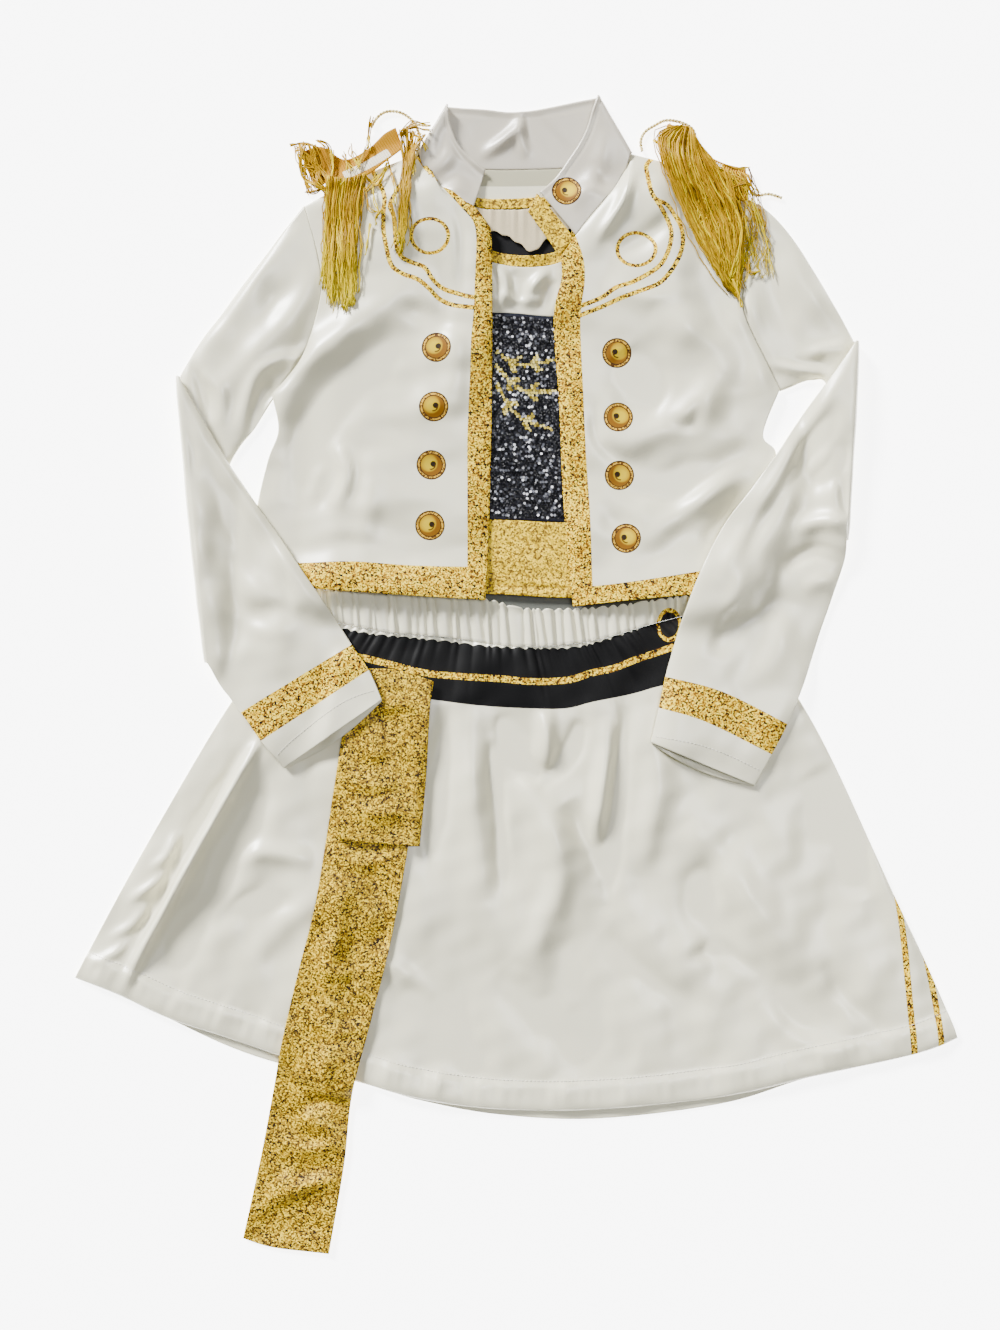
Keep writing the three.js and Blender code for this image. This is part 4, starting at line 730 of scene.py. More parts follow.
def wall(outer, inner, ringed=False):
    """The closed wall between two like grids of points. A ringed wall's rows close on themselves."""
    index = np.arange(outer.shape[0] * outer.shape[1]).reshape(outer.shape[:2])
    half = index.size
    if ringed:
        index = np.concatenate((index, index[:, :1]), axis=1)
    quads = np.stack((index[:-1, :-1], index[:-1, 1:], index[1:, 1:], index[1:, :-1]), -1).reshape(-1, 4)
    faces = [quads, quads[:, ::-1] + half]
    rims = [index[0], index[-1][::-1]]
    if not ringed:
        rims += [index[:, -1], index[::-1, 0]]
    for rim in rims:
        faces.append(np.stack((rim[1:], rim[:-1], rim[:-1] + half, rim[1:] + half), -1))
    points = np.concatenate((outer.reshape(-1, 3), inner.reshape(-1, 3)))
    faces = np.concatenate(faces)
    a, b, c, d = (points[faces[:, corner]] for corner in range(4))
    volume = (a * np.cross(b, c)).sum() + (a * np.cross(c, d)).sum()
    return points, faces if volume > 0 else faces[:, ::-1]


def turned(low, high, angle, outward):
    """A row of points as it goes round a fold, from its low height to its high one."""
    radius = (high[:, 2:] - low[:, 2:]) / 2
    middle = (low + high) / 2
    middle[:, 2:] -= radius * math.cos(angle)
    return middle + outward * radius * FOLD_BULGE * math.sin(angle)


def away_from_fold(fold_row, inner_row):
    """The level direction in which a fold points, away from the cloth."""
    along = fold_row[-1] - fold_row[0]
    outward = np.array((-along[1], along[0], 0)) / math.hypot(along[0], along[1])
    middle = len(fold_row) // 2
    return -outward if (inner_row[middle] - fold_row[middle]) @ outward > 0 else outward


TURN_ANGLES = [math.pi * step / TURN_STEPS for step in range(1, TURN_STEPS)]


def puff_near(rows, fold_row):
    """How much cloth stands up beside a fold."""
    return FOLD_PUFF * hump(np.linalg.norm(rows - fold_row[None], axis=2), FOLD_PUFF_REACH)


# Sleeves: flattened tubes whose forearm is folded over its upper arm at the elbow


SLEEVE_WIDTH = 150
# How far the upper arm's sections follow the armhole, and the mouth's last rows its lower lip
ARMHOLE_BLEND = (1, 0.6, 0.25, 0)
MOUTH_BLEND = (1, 0.85, 0.7, 0.35)


def sleeve_layers(upper_sections, fore_sections, armhole, upper_folds, fore_folds, seed):
    across = spread(SLEEVE_WIDTH)
    upper, places = section_plan(upper_sections, rims=(True, False), across=across)
    edge = at_shares(smooth_line(armhole)[::-1], across)
    blend = np.interp(places, range(len(ARMHOLE_BLEND)), ARMHOLE_BLEND)
    upper = upper + (edge - upper[0])[None] * blend[:, None, None]
    upper[0] += SEAM_INSET * unit(upper[2] - upper[0])
    fore = section_plan(fore_sections, rims=(False, True), across=across)[0]
    low = fore.copy()
    lap = MOUTH_LAP * np.sin(np.pi * np.linspace(0, 1, low.shape[1]))[:, None]
    for row, share in enumerate(MOUTH_BLEND, 1):
        low[-row] += lap * share * unit(fore[-1] - fore[-6])
    return dict(
        upper_low=Layer(upper, loft=0.4, held="lr", seed=seed),
        upper_high=Layer(upper, loft=3.2, held="lrb", folds=upper_folds, ripple=0.9, seed=seed + 1),
        fore_low=Layer(low, loft=0.6, held="lr", lift=puff_near(fore, fore[0]), seed=seed + 2, soften=4),
        fore_high=Layer(fore, loft=3.2, held="lr", folds=fore_folds, ripple=0.9, seed=seed + 3),
    )


EDGE_STEPS = 6
UP = np.array((0, 0, 1))


def tube_rings(low, high, bulge):
    """Rings round a flattened tube, from its lower and its upper surface."""

    def edge(a, b, beside):
        away = unit((a - beside) * (1, 1, 0))
        tall = (b[:, 2:] - a[:, 2:]) / 2
        out = np.minimum(tall, bulge)
        rows = []
        for step in range(1, EDGE_STEPS):
            angle = math.pi * (step / EDGE_STEPS - 0.5)
            rows.append((a + b) / 2 + away * out * math.cos(angle) + UP * tall * math.sin(angle))
        return np.stack(rows, axis=1)

    near = edge(low[:, -1], high[:, -1], low[:, -3])
    far = edge(low[:, 0], high[:, 0], low[:, 2])
    return np.concatenate((low, near, high[:, ::-1], far[:, ::-1]), axis=1)


def sleeve_wall(layers):
    """A sleeve's outer and inner rings, from the armhole over the elbow to the mouth."""
    upper, fore = [], []
    for half in ("low", "high"):
        upper += [layers[f"upper_{half}"].bottom(), layers[f"upper_{half}"].top()]
    for half in ("high", "low"):
        fore += [layers[f"fore_{half}"].top(), layers[f"fore_{half}"].bottom()]
    outward = away_from_fold(upper[0][-1], upper[0][-3])
    surfaces = []
    for arm, forearm in zip(upper, fore):
        turn = [turned(arm[-1], forearm[0], angle, outward) for angle in TURN_ANGLES]
        surfaces.append(np.concatenate((arm, np.stack(turn), forearm)))
    outside_low, inside_low, inside_high, outside_high = surfaces
    outer = tube_rings(outside_low, outside_high, EDGE_BULGE)
    inner = tube_rings(inside_low, inside_high, EDGE_BULGE - KNIT)
    return outer, inner


# Objects


def rgb(*channels):
    """A colour on the screen, from 0 to 255, as a shader's colour."""
    shares = [channel / 255 for channel in channels]
    linear = [share / 12.92 if share <= 0.04045 else ((share + 0.055) / 1.055) ** 2.4 for share in shares]
    return (*linear, 1.0)


def in_scene(name, data):
    item = bpy.data.objects.new(name, data)
    bpy.context.scene.collection.objects.link(item)
    return item


def add_piece(name, points, faces, finish, nodes=(), marks=None, smooth=True):
    mesh = bpy.data.meshes.new(name)
    mesh.from_pydata((points * MM).tolist(), [], faces if isinstance(faces, list) else faces.tolist())
    mesh.polygons.foreach_set("use_smooth", np.full(len(mesh.polygons), smooth))
    for mark, numbers in (marks or {}).items():
        attribute = mesh.attributes.new(mark, "FLOAT", "POINT")
        attribute.data.foreach_set("value", np.asarray(numbers, np.float32).ravel())
    mesh.materials.append(finish.material)
    piece = in_scene(name, mesh)
    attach(piece, "root")
    if nodes:
        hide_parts(*nodes)


# Finishes


class Value:
    """What a shader socket gives, for use in sums."""

    def __init__(self, finish, socket):
        self.finish, self.socket = finish, socket

    def math(self, operation, *others, clamp=False):
        return self.finish.math(operation, self, *others, clamp=clamp)

    def __add__(self, other):
        return self.math("ADD", other)

    def __sub__(self, other):
        return self.math("SUBTRACT", other)

    def __rsub__(self, other):
        return self.finish.math("SUBTRACT", other, self)

    def __mul__(self, other):
        return self.math("MULTIPLY", other)

    def __abs__(self):
        return self.math("ABSOLUTE")

    def __or__(self, other):
        return self.math("MAXIMUM", other)

    def __and__(self, other):
        return self.math("MINIMUM", other)

    def above(self, edge, soft=0.3):
        """1 where this is above an edge and 0 where it is below it, with a soft step between."""
        return self.math("MULTIPLY_ADD", 1 / soft, 0.5 - edge / soft, clamp=True)

    def below(self, edge, soft=0.3):
        return self.math("MULTIPLY_ADD", -1 / soft, 0.5 + edge / soft, clamp=True)

    __radd__ = __add__
    __rmul__ = __mul__


PRINT_ROUGHNESS = 0.6


class Finish:
    """A material whose shader takes constants, and expressions on what changes over the surface."""

    def __init__(self, name, **constants):
        self.material = bpy.data.materials.new(name)
        self.material.use_nodes = True
        self.tree = self.material.node_tree
        self.shader = next(node for node in self.tree.nodes if node.type == "BSDF_PRINCIPLED")
        self.set(**constants)
        self.printed = None
        self.place = self.vector("MULTIPLY", self.node("ShaderNodeTexCoord", output=3), (1 / MM,) * 3)

    def node(self, kind, settings=(), sockets=(), output=0):
        node = self.tree.nodes.new(kind)
        for setting, value in dict(settings).items():
            setattr(node, setting, value)
        for socket, value in dict(sockets).items():
            self.feed(value, node.inputs[socket])
        return Value(self, node.outputs[output])

    def feed(self, value, socket):
        if isinstance(value, Value):
            self.tree.links.new(value.socket, socket)
        else:
            socket.default_value = value

    def math(self, operation, *values, clamp=False):
        settings = dict(operation=operation, use_clamp=clamp)
        return self.node("ShaderNodeMath", settings, dict(enumerate(values)))

    def vector(self, operation, *values, output=0):
        return self.node("ShaderNodeVectorMath", dict(operation=operation), dict(enumerate(values)), output)

    def mark(self, name):
        return self.node("ShaderNodeAttribute", dict(attribute_name=name), output=2)

    def mix(self, factor, first, second):
        sockets = {0: factor, 6: first, 7: second}
        return self.node("ShaderNodeMix", dict(data_type="RGBA"), sockets, output=2)

    def noise(self, size, detail=2.0):
        sockets = {"Vector": self.place, "Scale": 1 / size, "Detail": detail}
        return self.node("ShaderNodeTexNoise", sockets=sockets)

    def grains(self, size):
        """A random number for each small grain."""
        sockets = {"Vector": self.place, "Scale": 1 / size}
        colour = self.node("ShaderNodeTexVoronoi", sockets=sockets, output=1)
        return self.node("ShaderNodeSeparateColor", sockets={0: colour})

    def ramp(self, value, stops):
        """A colour ramp, with each stop's place and its colour on the screen."""
        node = self.node("ShaderNodeValToRGB", sockets={0: value})
        ramp = node.socket.node.color_ramp
        while len(ramp.elements) < len(stops):
            ramp.elements.new(0.5)
        for element, (position, colour) in zip(ramp.elements, stops):
            element.position, element.color = position, rgb(*colour)
        return node

    def set(self, **values):
        for socket, value in values.items():
            self.feed(value, self.shader.inputs[socket.replace("_", " ")])

    def bump(self, height):
        """Small relief, with its height in millimetres."""
        return self.node("ShaderNodeBump", sockets={"Height": height, "Distance": MM})

    def paint(self, mask, colour):
        """Prints a colour where the mask is 1."""
        if self.printed is None:
            self.printed, self.print_mask = colour, mask
        else:
            self.printed = self.mix(mask, self.printed, colour)
            self.print_mask = self.print_mask | mask

    def done(self):
        """Sets the cloth's shader, and mixes in another, duller one where the cloth is printed."""
        normal = self.bump(self.relief)
        self.set(Base_Color=self.colour, Roughness=self.rough, Normal=normal)
        if self.printed is not None:
            dull = {"Roughness": PRINT_ROUGHNESS, "Specular IOR Level": 0.15}
            sockets = {"Base Color": self.printed, "Normal": normal, **dull}
            print_shader = self.node("ShaderNodeBsdfPrincipled", sockets=sockets)
            both = {0: self.print_mask, 1: Value(self, self.shader.outputs[0]), 2: print_shader}
            mixed = self.node("ShaderNodeMixShader", sockets=both)
            output = next(node for node in self.tree.nodes if node.type == "OUTPUT_MATERIAL")
            self.feed(mixed, output.inputs["Surface"])
        return self

    def near(self, x, y, wide=1, tall=1):
        """How far each place is from a point, seen from above, in shares of a width and a height."""
        level = self.vector("MULTIPLY", self.place, (1 / wide, 1 / tall, 0))
        return self.vector("DISTANCE", level, (x / wide, y / tall, 0), output=1)

    def nearest(self, centres, right=0, up=0):
        """How far each place is from the nearest of some points, or from places beside them."""
        apart = [self.near(x + right, y + up) for x, y in centres]
        least = apart[0]
        for other in apart[1:]:
            least = least & other
        return least


# Threads, cords, stitches and sequins


THREAD_SIDES = 4
THREAD_STEPS = 19
THREAD_CURVE = 12
THREAD_WAVE = 26.0
THREAD_REST = 0.7
WISP_RISE = 2.4
# How uneven a bunch's ends are, how far its threads stray, and how much farther the loose ones do
UNEVEN = 0.16
STRAY = 1.1
LOOSE_STRAY = 2.6
CORD_REST = 1.45
CORD_THREAD = 0.75
CORD_PITCH = 5.2
CORD_TWIST = 0.66
CORD_STEP = 0.7
# A stitch's length, and its heights along it
STITCH = 2.2
STITCH_ARCH = (0.02, 0.22, 0.22, 0.02)
SEQUIN = 1.12
SEQUIN_PITCH = 2.1
SEQUIN_MARGIN = 2.0
SEQUIN_SIDES = 6
SEQUIN_RISE = 0.9


def tubes(paths, radius, sides=THREAD_SIDES):
    """Closed tubes along paths with the same number of points each."""
    paths = np.asarray(paths, float)
    count, steps = paths.shape[:2]
    along = unit(np.gradient(paths, axis=1))
    side = unit(np.stack((along[..., 1], -along[..., 0], np.full(along.shape[:2], 1e-6)), axis=2))
    up = np.cross(side, along)
    angles = (np.arange(sides) + 0.5) * 2 * math.pi / sides
    radius = np.broadcast_to(radius, (count, steps))[..., None, None]
    ring = side[:, :, None] * np.cos(angles)[:, None] + up[:, :, None] * np.sin(angles)[:, None]
    points = paths[:, :, None] + radius * ring
    index = np.arange(count * steps * sides).reshape(count, steps, sides)
    turned_index = np.roll(index, -1, axis=2)
    quads = np.stack((index[:, :-1], index[:, 1:], turned_index[:, 1:], turned_index[:, :-1]), axis=-1)
    faces = quads.reshape(-1, 4).tolist() + index[:, 0].tolist() + index[:, -1, ::-1].tolist()
    return points.reshape(-1, 3), faces


def rest_paths(level, above):
    """Paths in plan, laid on the stack."""
    rests = stack.rest(level[..., 0], level[..., 1], 1)
    return np.dstack((level, rests + above))


def wavy(level, chance, high):
    """Adds each thread's own sideways waves, which grow towards its tip."""
    count, steps = level.shape[:2]
    along = np.gradient(level, axis=1)
    along /= np.linalg.norm(along, axis=2, keepdims=True) + 1e-9
    across = np.stack((-along[..., 1], along[..., 0]), axis=2)
    share = np.linspace(0, 1, steps)[None]
    travelled = np.linalg.norm(np.diff(level, axis=1), axis=2).sum(1)[:, None] * share
    wave = np.zeros((count, steps))
    for scale in (1.0, 0.45):
        phase = chance.uniform(0, 2 * math.pi, (count, 1))
        rate = chance.uniform(0.7, 1.4, (count, 1)) / (THREAD_WAVE * scale)
        wave += scale * np.sin(2 * math.pi * travelled * rate + phase)
    growth = (0.25 + 0.75 * share) * np.minimum(share * 6, 1)
    return level + across * (wave * high * growth)[..., None]


def bunch(guides, count, seed, tall, waves=1.1):
    """Threads between guide threads: their paths, and how light each is."""
    chance = np.random.default_rng(seed)
    guides = np.asarray(guides, float).reshape(len(guides), 4, 2)
    share = np.clip(np.linspace(0, 1, count) + chance.uniform(-1, 1, count) * 1.5 / count, 0, 1)
    place = share * (len(guides) - 1)
    first = np.minimum(place.astype(int), len(guides) - 2)
    part = (place - first)[:, None, None]
    stops = guides[first] * (1 - part) + guides[first + 1] * part
    loose = np.where(chance.uniform(0, 1, (count, 1, 1)) > 0.86, LOOSE_STRAY, 1.0)
    stops[:, 1:] += chance.normal(0, STRAY, (count, 3, 2)) * loose
    long = 1 - UNEVEN * chance.uniform(0, 1, count) ** 1.5
    shares = np.linspace(0, 1, THREAD_STEPS)
    lines = []
    for line, reach in zip(stops, long):
        lines.append(at_shares(curve_through(line, THREAD_CURVE), shares * reach))
    level = wavy(np.stack(lines), chance, waves)
    lifted = chance.uniform(0, 1, (count, 1)) * tall * (1 - 0.65 * shares[None] ** 2)
    return rest_paths(level, THREAD_REST + lifted), chance.uniform(0, 1, count)


def wisps(rows, seed):
    """Single threads from a table: their paths, and how light each is."""
    chance = np.random.default_rng(seed)
    shares = np.linspace(0, 1, THREAD_STEPS)
    level, tones = [], []
    for row in rows:
        count, wide, tone = row[6:]
        for unused in range(count):
            points = np.reshape(row[:6], (3, 2)) + chance.normal(0, wide / 2, (3, 2))
            level.append(at_shares(curve_through(points), shares))
            tones.append(np.clip(tone + chance.uniform(-0.2, 0.2), 0, 1))
    level = wavy(np.stack(level), chance, 0.6)
    lifted = chance.uniform(0.3, 1, (len(level), 1)) * WISP_RISE
    return rest_paths(level, THREAD_REST + lifted), np.array(tones)


def add_fringe(name, guides, count, seed, tall, loose, bright, waves=1.1, radius=0.55):
    """An epaulette's fringe: a bunch between guide threads, and loose wisps over it."""
    parts = [bunch(guides, count, seed, tall, waves), wisps(loose, seed + 1)]
    paths = np.concatenate([part[0] for part in parts])
    tones = np.concatenate([part[1] for part in parts])
    shares = np.linspace(0, 1, THREAD_STEPS)
    points, faces = tubes(paths, radius * (1 - 0.25 * shares[None] ** 6))
    along = np.tile(np.repeat(shares, THREAD_SIDES), len(paths))
    marks = {"tone": np.repeat(tones, THREAD_STEPS * THREAD_SIDES), "along": along * bright}
    add_piece(name, points, faces, thread_finish, [f"epaulette_{name}"], marks)


def add_cord(name, *routes):
    """A trimming cord of two twisted threads, in one or more stretches."""
    points, faces, start = [], [], 0
    for route in routes:
        line = curve_through(route, THREAD_CURVE)
        steps = int(lengths(line)[-1] / CORD_STEP)
        line = at_shares(line, np.linspace(0, 1, steps))
        middle = rest_paths(line[None], CORD_REST)[0]
        for unused in range(3):
            middle[1:-1, 2] = np.maximum(middle[1:-1, 2], (middle[:-2, 2] + middle[2:, 2]) / 2)
        along = unit(np.gradient(middle, axis=0))
        side = np.stack((along[:, 1], -along[:, 0], np.zeros(steps)), axis=1)
        up = np.cross(side, along)
        turn = 2 * math.pi * lengths(middle) / CORD_PITCH
        plies = []
        for phase in (0, math.pi):
            off = side * np.cos(turn + phase)[:, None] + up * np.sin(turn + phase)[:, None]
            plies.append(middle + CORD_TWIST * off)
        ply_points, ply_faces = tubes(plies, CORD_THREAD, 6)
        points.append(ply_points)
        faces += [[corner + start for corner in face] for face in ply_faces]
        start += len(ply_points)
        stack.raise_to(middle + UP * CORD_THREAD)
    add_piece(name, np.concatenate(points), faces, cord_finish, [f"epaulette_{name}"])


def level_line(surface, mark):
    """Where a mark first passes zero along each column of a surface."""
    line = []
    for column in range(surface.shape[1]):
        values = mark[:, column]
        turns = np.nonzero(np.sign(values[:-1]) != np.sign(values[1:]))[0]
        if len(turns):
            row = turns[0]
            share = values[row] / (values[row] - values[row + 1])
            line.append(surface[row, column] * (1 - share) + surface[row + 1, column] * share)
    return np.array(line)


def line_on(layer, line):
    """Where a line drawn in plan crosses a layer's columns."""
    away, unused = place_on(curve_through(line, LINE_STEPS), layer.x, layer.y, extend=60)
    return level_line(layer.top(), away)


def add_stitches(name, line, finish, pitch=3.0, radius=0.22):
    """A row of stitches along a line."""
    along = lengths(line)
    starts = np.arange(pitch, along[-1] - pitch, pitch)
    rows = []
    for step, high in zip(np.linspace(0, STITCH, len(STITCH_ARCH)), STITCH_ARCH):
        place = np.stack([np.interp(starts + step, along, column) for column in line.T], axis=1)
        rows.append(place + UP * high)
    points, faces = tubes(np.stack(rows, axis=1), radius)
    add_piece(name, points, faces, finish)


def sequin_centres(outline):
    """Places for sequins in staggered rows over a panel's plan."""
    low, high = outline[..., 1].min(), outline[..., 1].max()
    centres = []
    for number, y in enumerate(np.arange(low + 2, high - 1.6, SEQUIN_PITCH * 0.87)):
        row = int(np.interp(y, outline[:, 0, 1], np.arange(len(outline))))
        left, right = outline[row, 0, 0] + 2.2, outline[row, -1, 0] - 2.2
        x = np.arange(left + (number % 2) * SEQUIN_PITCH / 2, right, SEQUIN_PITCH)
        centres.append(np.stack((x, np.full(len(x), y)), axis=1))
    centres = np.concatenate(centres)
    x, y = centres.T
    inside = y < np.interp(x, outline[-1, :, 0], outline[-1, :, 1]) - SEQUIN_MARGIN
    inside &= y > np.interp(x, outline[0, :, 0], outline[0, :, 1]) + SEQUIN_MARGIN
    return centres[inside]


def add_sequins(name, outline, field, finish):
    """Small cupped discs over the sequin panel, each turned a little its own way."""
    chance = np.random.default_rng(8)
    centres = sequin_centres(outline)
    count = len(centres)
    centres = centres + chance.normal(0, 0.18, (count, 2))
    height = stack.sample(field, centres[:, 0], centres[:, 1])
    normal = unit(np.concatenate((chance.normal(0, 0.13, (count, 2)), np.ones((count, 1))), axis=1))
    first = unit(np.cross(normal, (0, 1, 0)))
    second = np.cross(normal, first)
    centre = np.concatenate((centres, height[:, None] + 0.5), axis=1)
    start = chance.uniform(0, 2 * math.pi / SEQUIN_SIDES, count)
    corners = [centre - 0.05 * normal, centre - 0.3 * normal]
    pattern = []
    for corner in range(SEQUIN_SIDES):
        angle = start + corner * 2 * math.pi / SEQUIN_SIDES
        reach = first * np.cos(angle)[:, None] + second * np.sin(angle)[:, None]
        corners.append(centre + SEQUIN * reach + normal * 0.1)
        here, following = 2 + corner, 2 + (corner + 1) % SEQUIN_SIDES
        pattern += [(0, here, following), (1, following, here)]
    points = np.stack(corners, axis=1)
    faces = (np.arange(count)[:, None, None] * len(corners) + np.array(pattern)).reshape(-1, 3)
    marks = {
        "tone": np.repeat(chance.uniform(0, 1, count), len(corners)),
        "golden": np.repeat(sprig(centres[:, 0], centres[:, 1]), len(corners)),
    }
    add_piece(name, points.reshape(-1, 3), faces, finish, marks=marks, smooth=False)


# The spray's stems and leaves: half widths, a leaf's reach, and the leaves' places along a stem
STEM, LEAF, LEAF_REACH = 1.35, 2.4, 6.5
LEAF_PLACES = (0.3, 0.62)


def sprig(x, y):
    """1 on a spray of bent stems, each with a few small leaves."""
    mark = np.zeros(x.shape, bool)
    for row in SPRIG_STEMS:
        stem = curve_of(row, 8)
        away, along = place_on(stem, x, y)
        away, long = np.abs(away), lengths(stem)[-1]
        mark |= (away < STEM) & (along > 0) & (along < long)
        for share in LEAF_PLACES:
            forward = along - share * long - 0.8 * away
            mark |= (np.abs(forward) < LEAF) & (away < LEAF_REACH)
    return mark.astype(float)


# Skirt


def step_down(above, wide):
    """1 below a step and 0 above it."""
    return 0.5 - 0.5 * np.tanh(above / wide)


def gathers_at(share, along):
    """The gathers' profile across the waist: round ridges with sharp valleys between them."""
    chance = np.random.default_rng(4)
    widths = chance.uniform(*GATHER_WIDTHS, GATHERS) ** 1.3 + 0.2
    starts = np.concatenate(([0], np.cumsum(widths))) / widths.sum()
    lean = chance.uniform(-GATHER_LEAN, GATHER_LEAN, GATHERS + 1)
    place = np.interp(share, starts, np.arange(GATHERS + 1))
    place = np.clip(place + np.interp(place, np.arange(GATHERS + 1), lean) * along, 0, GATHERS - 0.001)
    number = place.astype(int)
    return np.abs(np.sin(np.pi * place)) ** GATHER_ROUNDNESS, number


def gathers_below(share, below):
    """How the waist's gathers run out into the skirt below its stitching."""
    profile, number = gathers_at(share, 0)
    chance = np.random.default_rng(9)
    reach = chance.uniform(*SHORT_REACH, GATHERS)
    long = chance.uniform(0, 1, GATHERS) > SHORT_SHARE
    reach[long] = chance.uniform(*LONG_REACH, long.sum())
    return 1.8 * (profile - 0.25) * np.exp(-((below / reach[number]) ** 1.3))


def hem_puff(above, share, seed):
    """The thicker hem: its rise above the cloth next to it, and the puckers across it."""
    chance = np.random.default_rng(seed)
    pucker = np.zeros(share.shape)
    for cycles in HEM_PUCKERS:
        pucker += np.sin(2 * math.pi * cycles * (share + 0.004 * np.sin(31 * share)) + chance.uniform(0, 6))
    rise = HEM_RISE * (1 - np.exp(-above / 2.5)) * step_down(above - HEM_DEPTH, 1.7)
    return rise + 0.2 * pucker * hump(above - 14, 9)


FRONT_FACET = 2.6
CASING_FACET = 0.8
SCALLOP_MIDDLE = 0.6

skirt_rims = (WAIST_STITCHING, SKIRT_RIGHT, SKIRT_LEFT)
back_waist = Layer(panel_plan(WAIST_STITCHING, BACK_WAIST_TOP, WAIST_RIGHT_END, BACK_WAIST_LEFT_END))
skirt_back = Layer(panel_plan(SKIRT_BACK_HEM, *skirt_rims, facet=(5, 5)), ripple=0.3, seed=11)
front_rows = panel_plan(SKIRT_FRONT_HEM, *skirt_rims, facet=(FRONT_FACET, FACET))
front_share = spread(lengths(smooth_line(SKIRT_FRONT_HEM))[-1], FRONT_FACET)
front_share = np.broadcast_to(front_share, front_rows.shape[:2])
skirt_front = Layer(front_rows, loft=2.6, held="lrt", folds=SKIRT_FOLDS, ripple=1.3, seed=12)
skirt_front.lift += gathers_below(front_share, skirt_front.edges["t"])
skirt_front.lift += hem_puff(skirt_front.edges["b"], front_share, 7)

casing_rows = panel_plan(
    WAIST_STITCHING, WAIST_TOP, WAIST_RIGHT_END, WAIST_LEFT_END, facet=(CASING_FACET, 2 * CASING_FACET)
)
casing_share = spread(lengths(smooth_line(WAIST_STITCHING))[-1], CASING_FACET)
casing_up = np.linspace(0, 1, casing_rows.shape[0])[:, None]
casing_profile, casing_number = gathers_at(np.broadcast_to(casing_share, casing_rows.shape[:2]), casing_up)
casing_heights = np.random.default_rng(5).uniform(*GATHER_HEIGHTS, GATHERS)[casing_number]
casing_rows[..., 1] += 2.4 * (casing_profile - SCALLOP_MIDDLE) * casing_up**3
casing_puff = casing_heights * casing_profile * (0.8 + 0.2 * np.sin(3 * casing_up))
front_waist = Layer(casing_rows, lift=0.5 + casing_puff)

# Jacket


def seam_of(sections):
    return curve_through(np.asarray(sections)[:, :2])


side_right = join(smooth_line(SIDE_RIGHT), smooth_line(ARMHOLE_RIGHT))
side_left = join(smooth_line(SIDE_LEFT), smooth_line(ARMHOLE_LEFT))
shoulder_right, shoulder_left = smooth_line(SHOULDER_RIGHT), smooth_line(SHOULDER_LEFT)
neck_ends = [SHOULDER_RIGHT[-1], SHOULDER_LEFT[0]]
back_top = join(shoulder_right, seam_of(COLLAR_BACK), shoulder_left)
back_hem = smooth_line(JACKET_BACK_HEM)
jacket_back = Layer(plan(back_hem, back_top, side_right, side_left, corners=neck_ends), ripple=0.3, seed=21)
right_top = join(shoulder_right, seam_of(COLLAR_RIGHT_FRONT)[::-1])
right_rows = plan(
    smooth_line(FRONT_RIGHT_HEM), right_top, side_right, smooth_line(FRONT_RIGHT_EDGE), corners=neck_ends
)
left_top = join(smooth_line(FRONT_LEFT_BAND_TOP), seam_of(COLLAR_LEFT_FRONT)[::-1], shoulder_left)
left_corners = [FRONT_LEFT_BAND_TOP[-1], *neck_ends]
left_rows = plan(
    smooth_line(FRONT_LEFT_HEM), left_top, smooth_line(FRONT_LEFT_EDGE), side_left, corners=left_corners
)
front = dict(loft=3.4, ripple=1.1, soften=9)
jacket_front_right = Layer(right_rows, held="lt", folds=FRONT_RIGHT_FOLDS, seed=22, **front)
jacket_front_left = Layer(left_rows, held="rt", folds=FRONT_LEFT_FOLDS, seed=23, **front)
sleeve_right = sleeve_layers(
    SLEEVE_RIGHT_UPPER, SLEEVE_RIGHT_FORE, ARMHOLE_RIGHT, UPPER_RIGHT_FOLDS, FORE_RIGHT_FOLDS, 31
)
sleeve_left = sleeve_layers(
    SLEEVE_LEFT_UPPER, SLEEVE_LEFT_FORE, ARMHOLE_LEFT, UPPER_LEFT_FOLDS, FORE_LEFT_FOLDS, 41
)

# Collar


COLLAR_HEIGHT = 48
COLLAR_FACET = 2.4


def collar_part(sections, folds, loft, fold_row=None):
    """A third of the collar, with a rolled edge and a groove beside it. Its fold row is at its fold."""
    across = spread(COLLAR_HEIGHT, COLLAR_FACET)
    rims = (fold_row != 0, fold_row != -1)
    rows = section_plan(sections, (COLLAR_FACET, COLLAR_FACET), rims, across)[0]
    rows[:, 0] += SEAM_INSET * unit(rows[:, 2] - rows[:, 0])
    lift = 0 if fold_row is None else puff_near(rows, rows[fold_row])
    from_edge = apart_along(rows, 1)[1]
    lift = lift + 1.0 * hump(from_edge - 1.5, 1.2) - 0.7 * hump(from_edge - 4.5, 1.2)
    return Layer(rows, cloth=COLLAR_KNIT, loft=loft, held="r", folds=folds, lift=lift, seed=25)


collar_back = collar_part(COLLAR_BACK, COLLAR_BACK_FOLDS, 0.8)
collar_right_front = collar_part(COLLAR_RIGHT_FRONT, COLLAR_FRONT_FOLDS, 1.2, -1)
collar_left_front = collar_part(COLLAR_LEFT_FRONT, COLLAR_FRONT_FOLDS, 1.2, 0)
collar_band = Layer(inset(section_plan(COLLAR_BAND_LEFT)[0]))


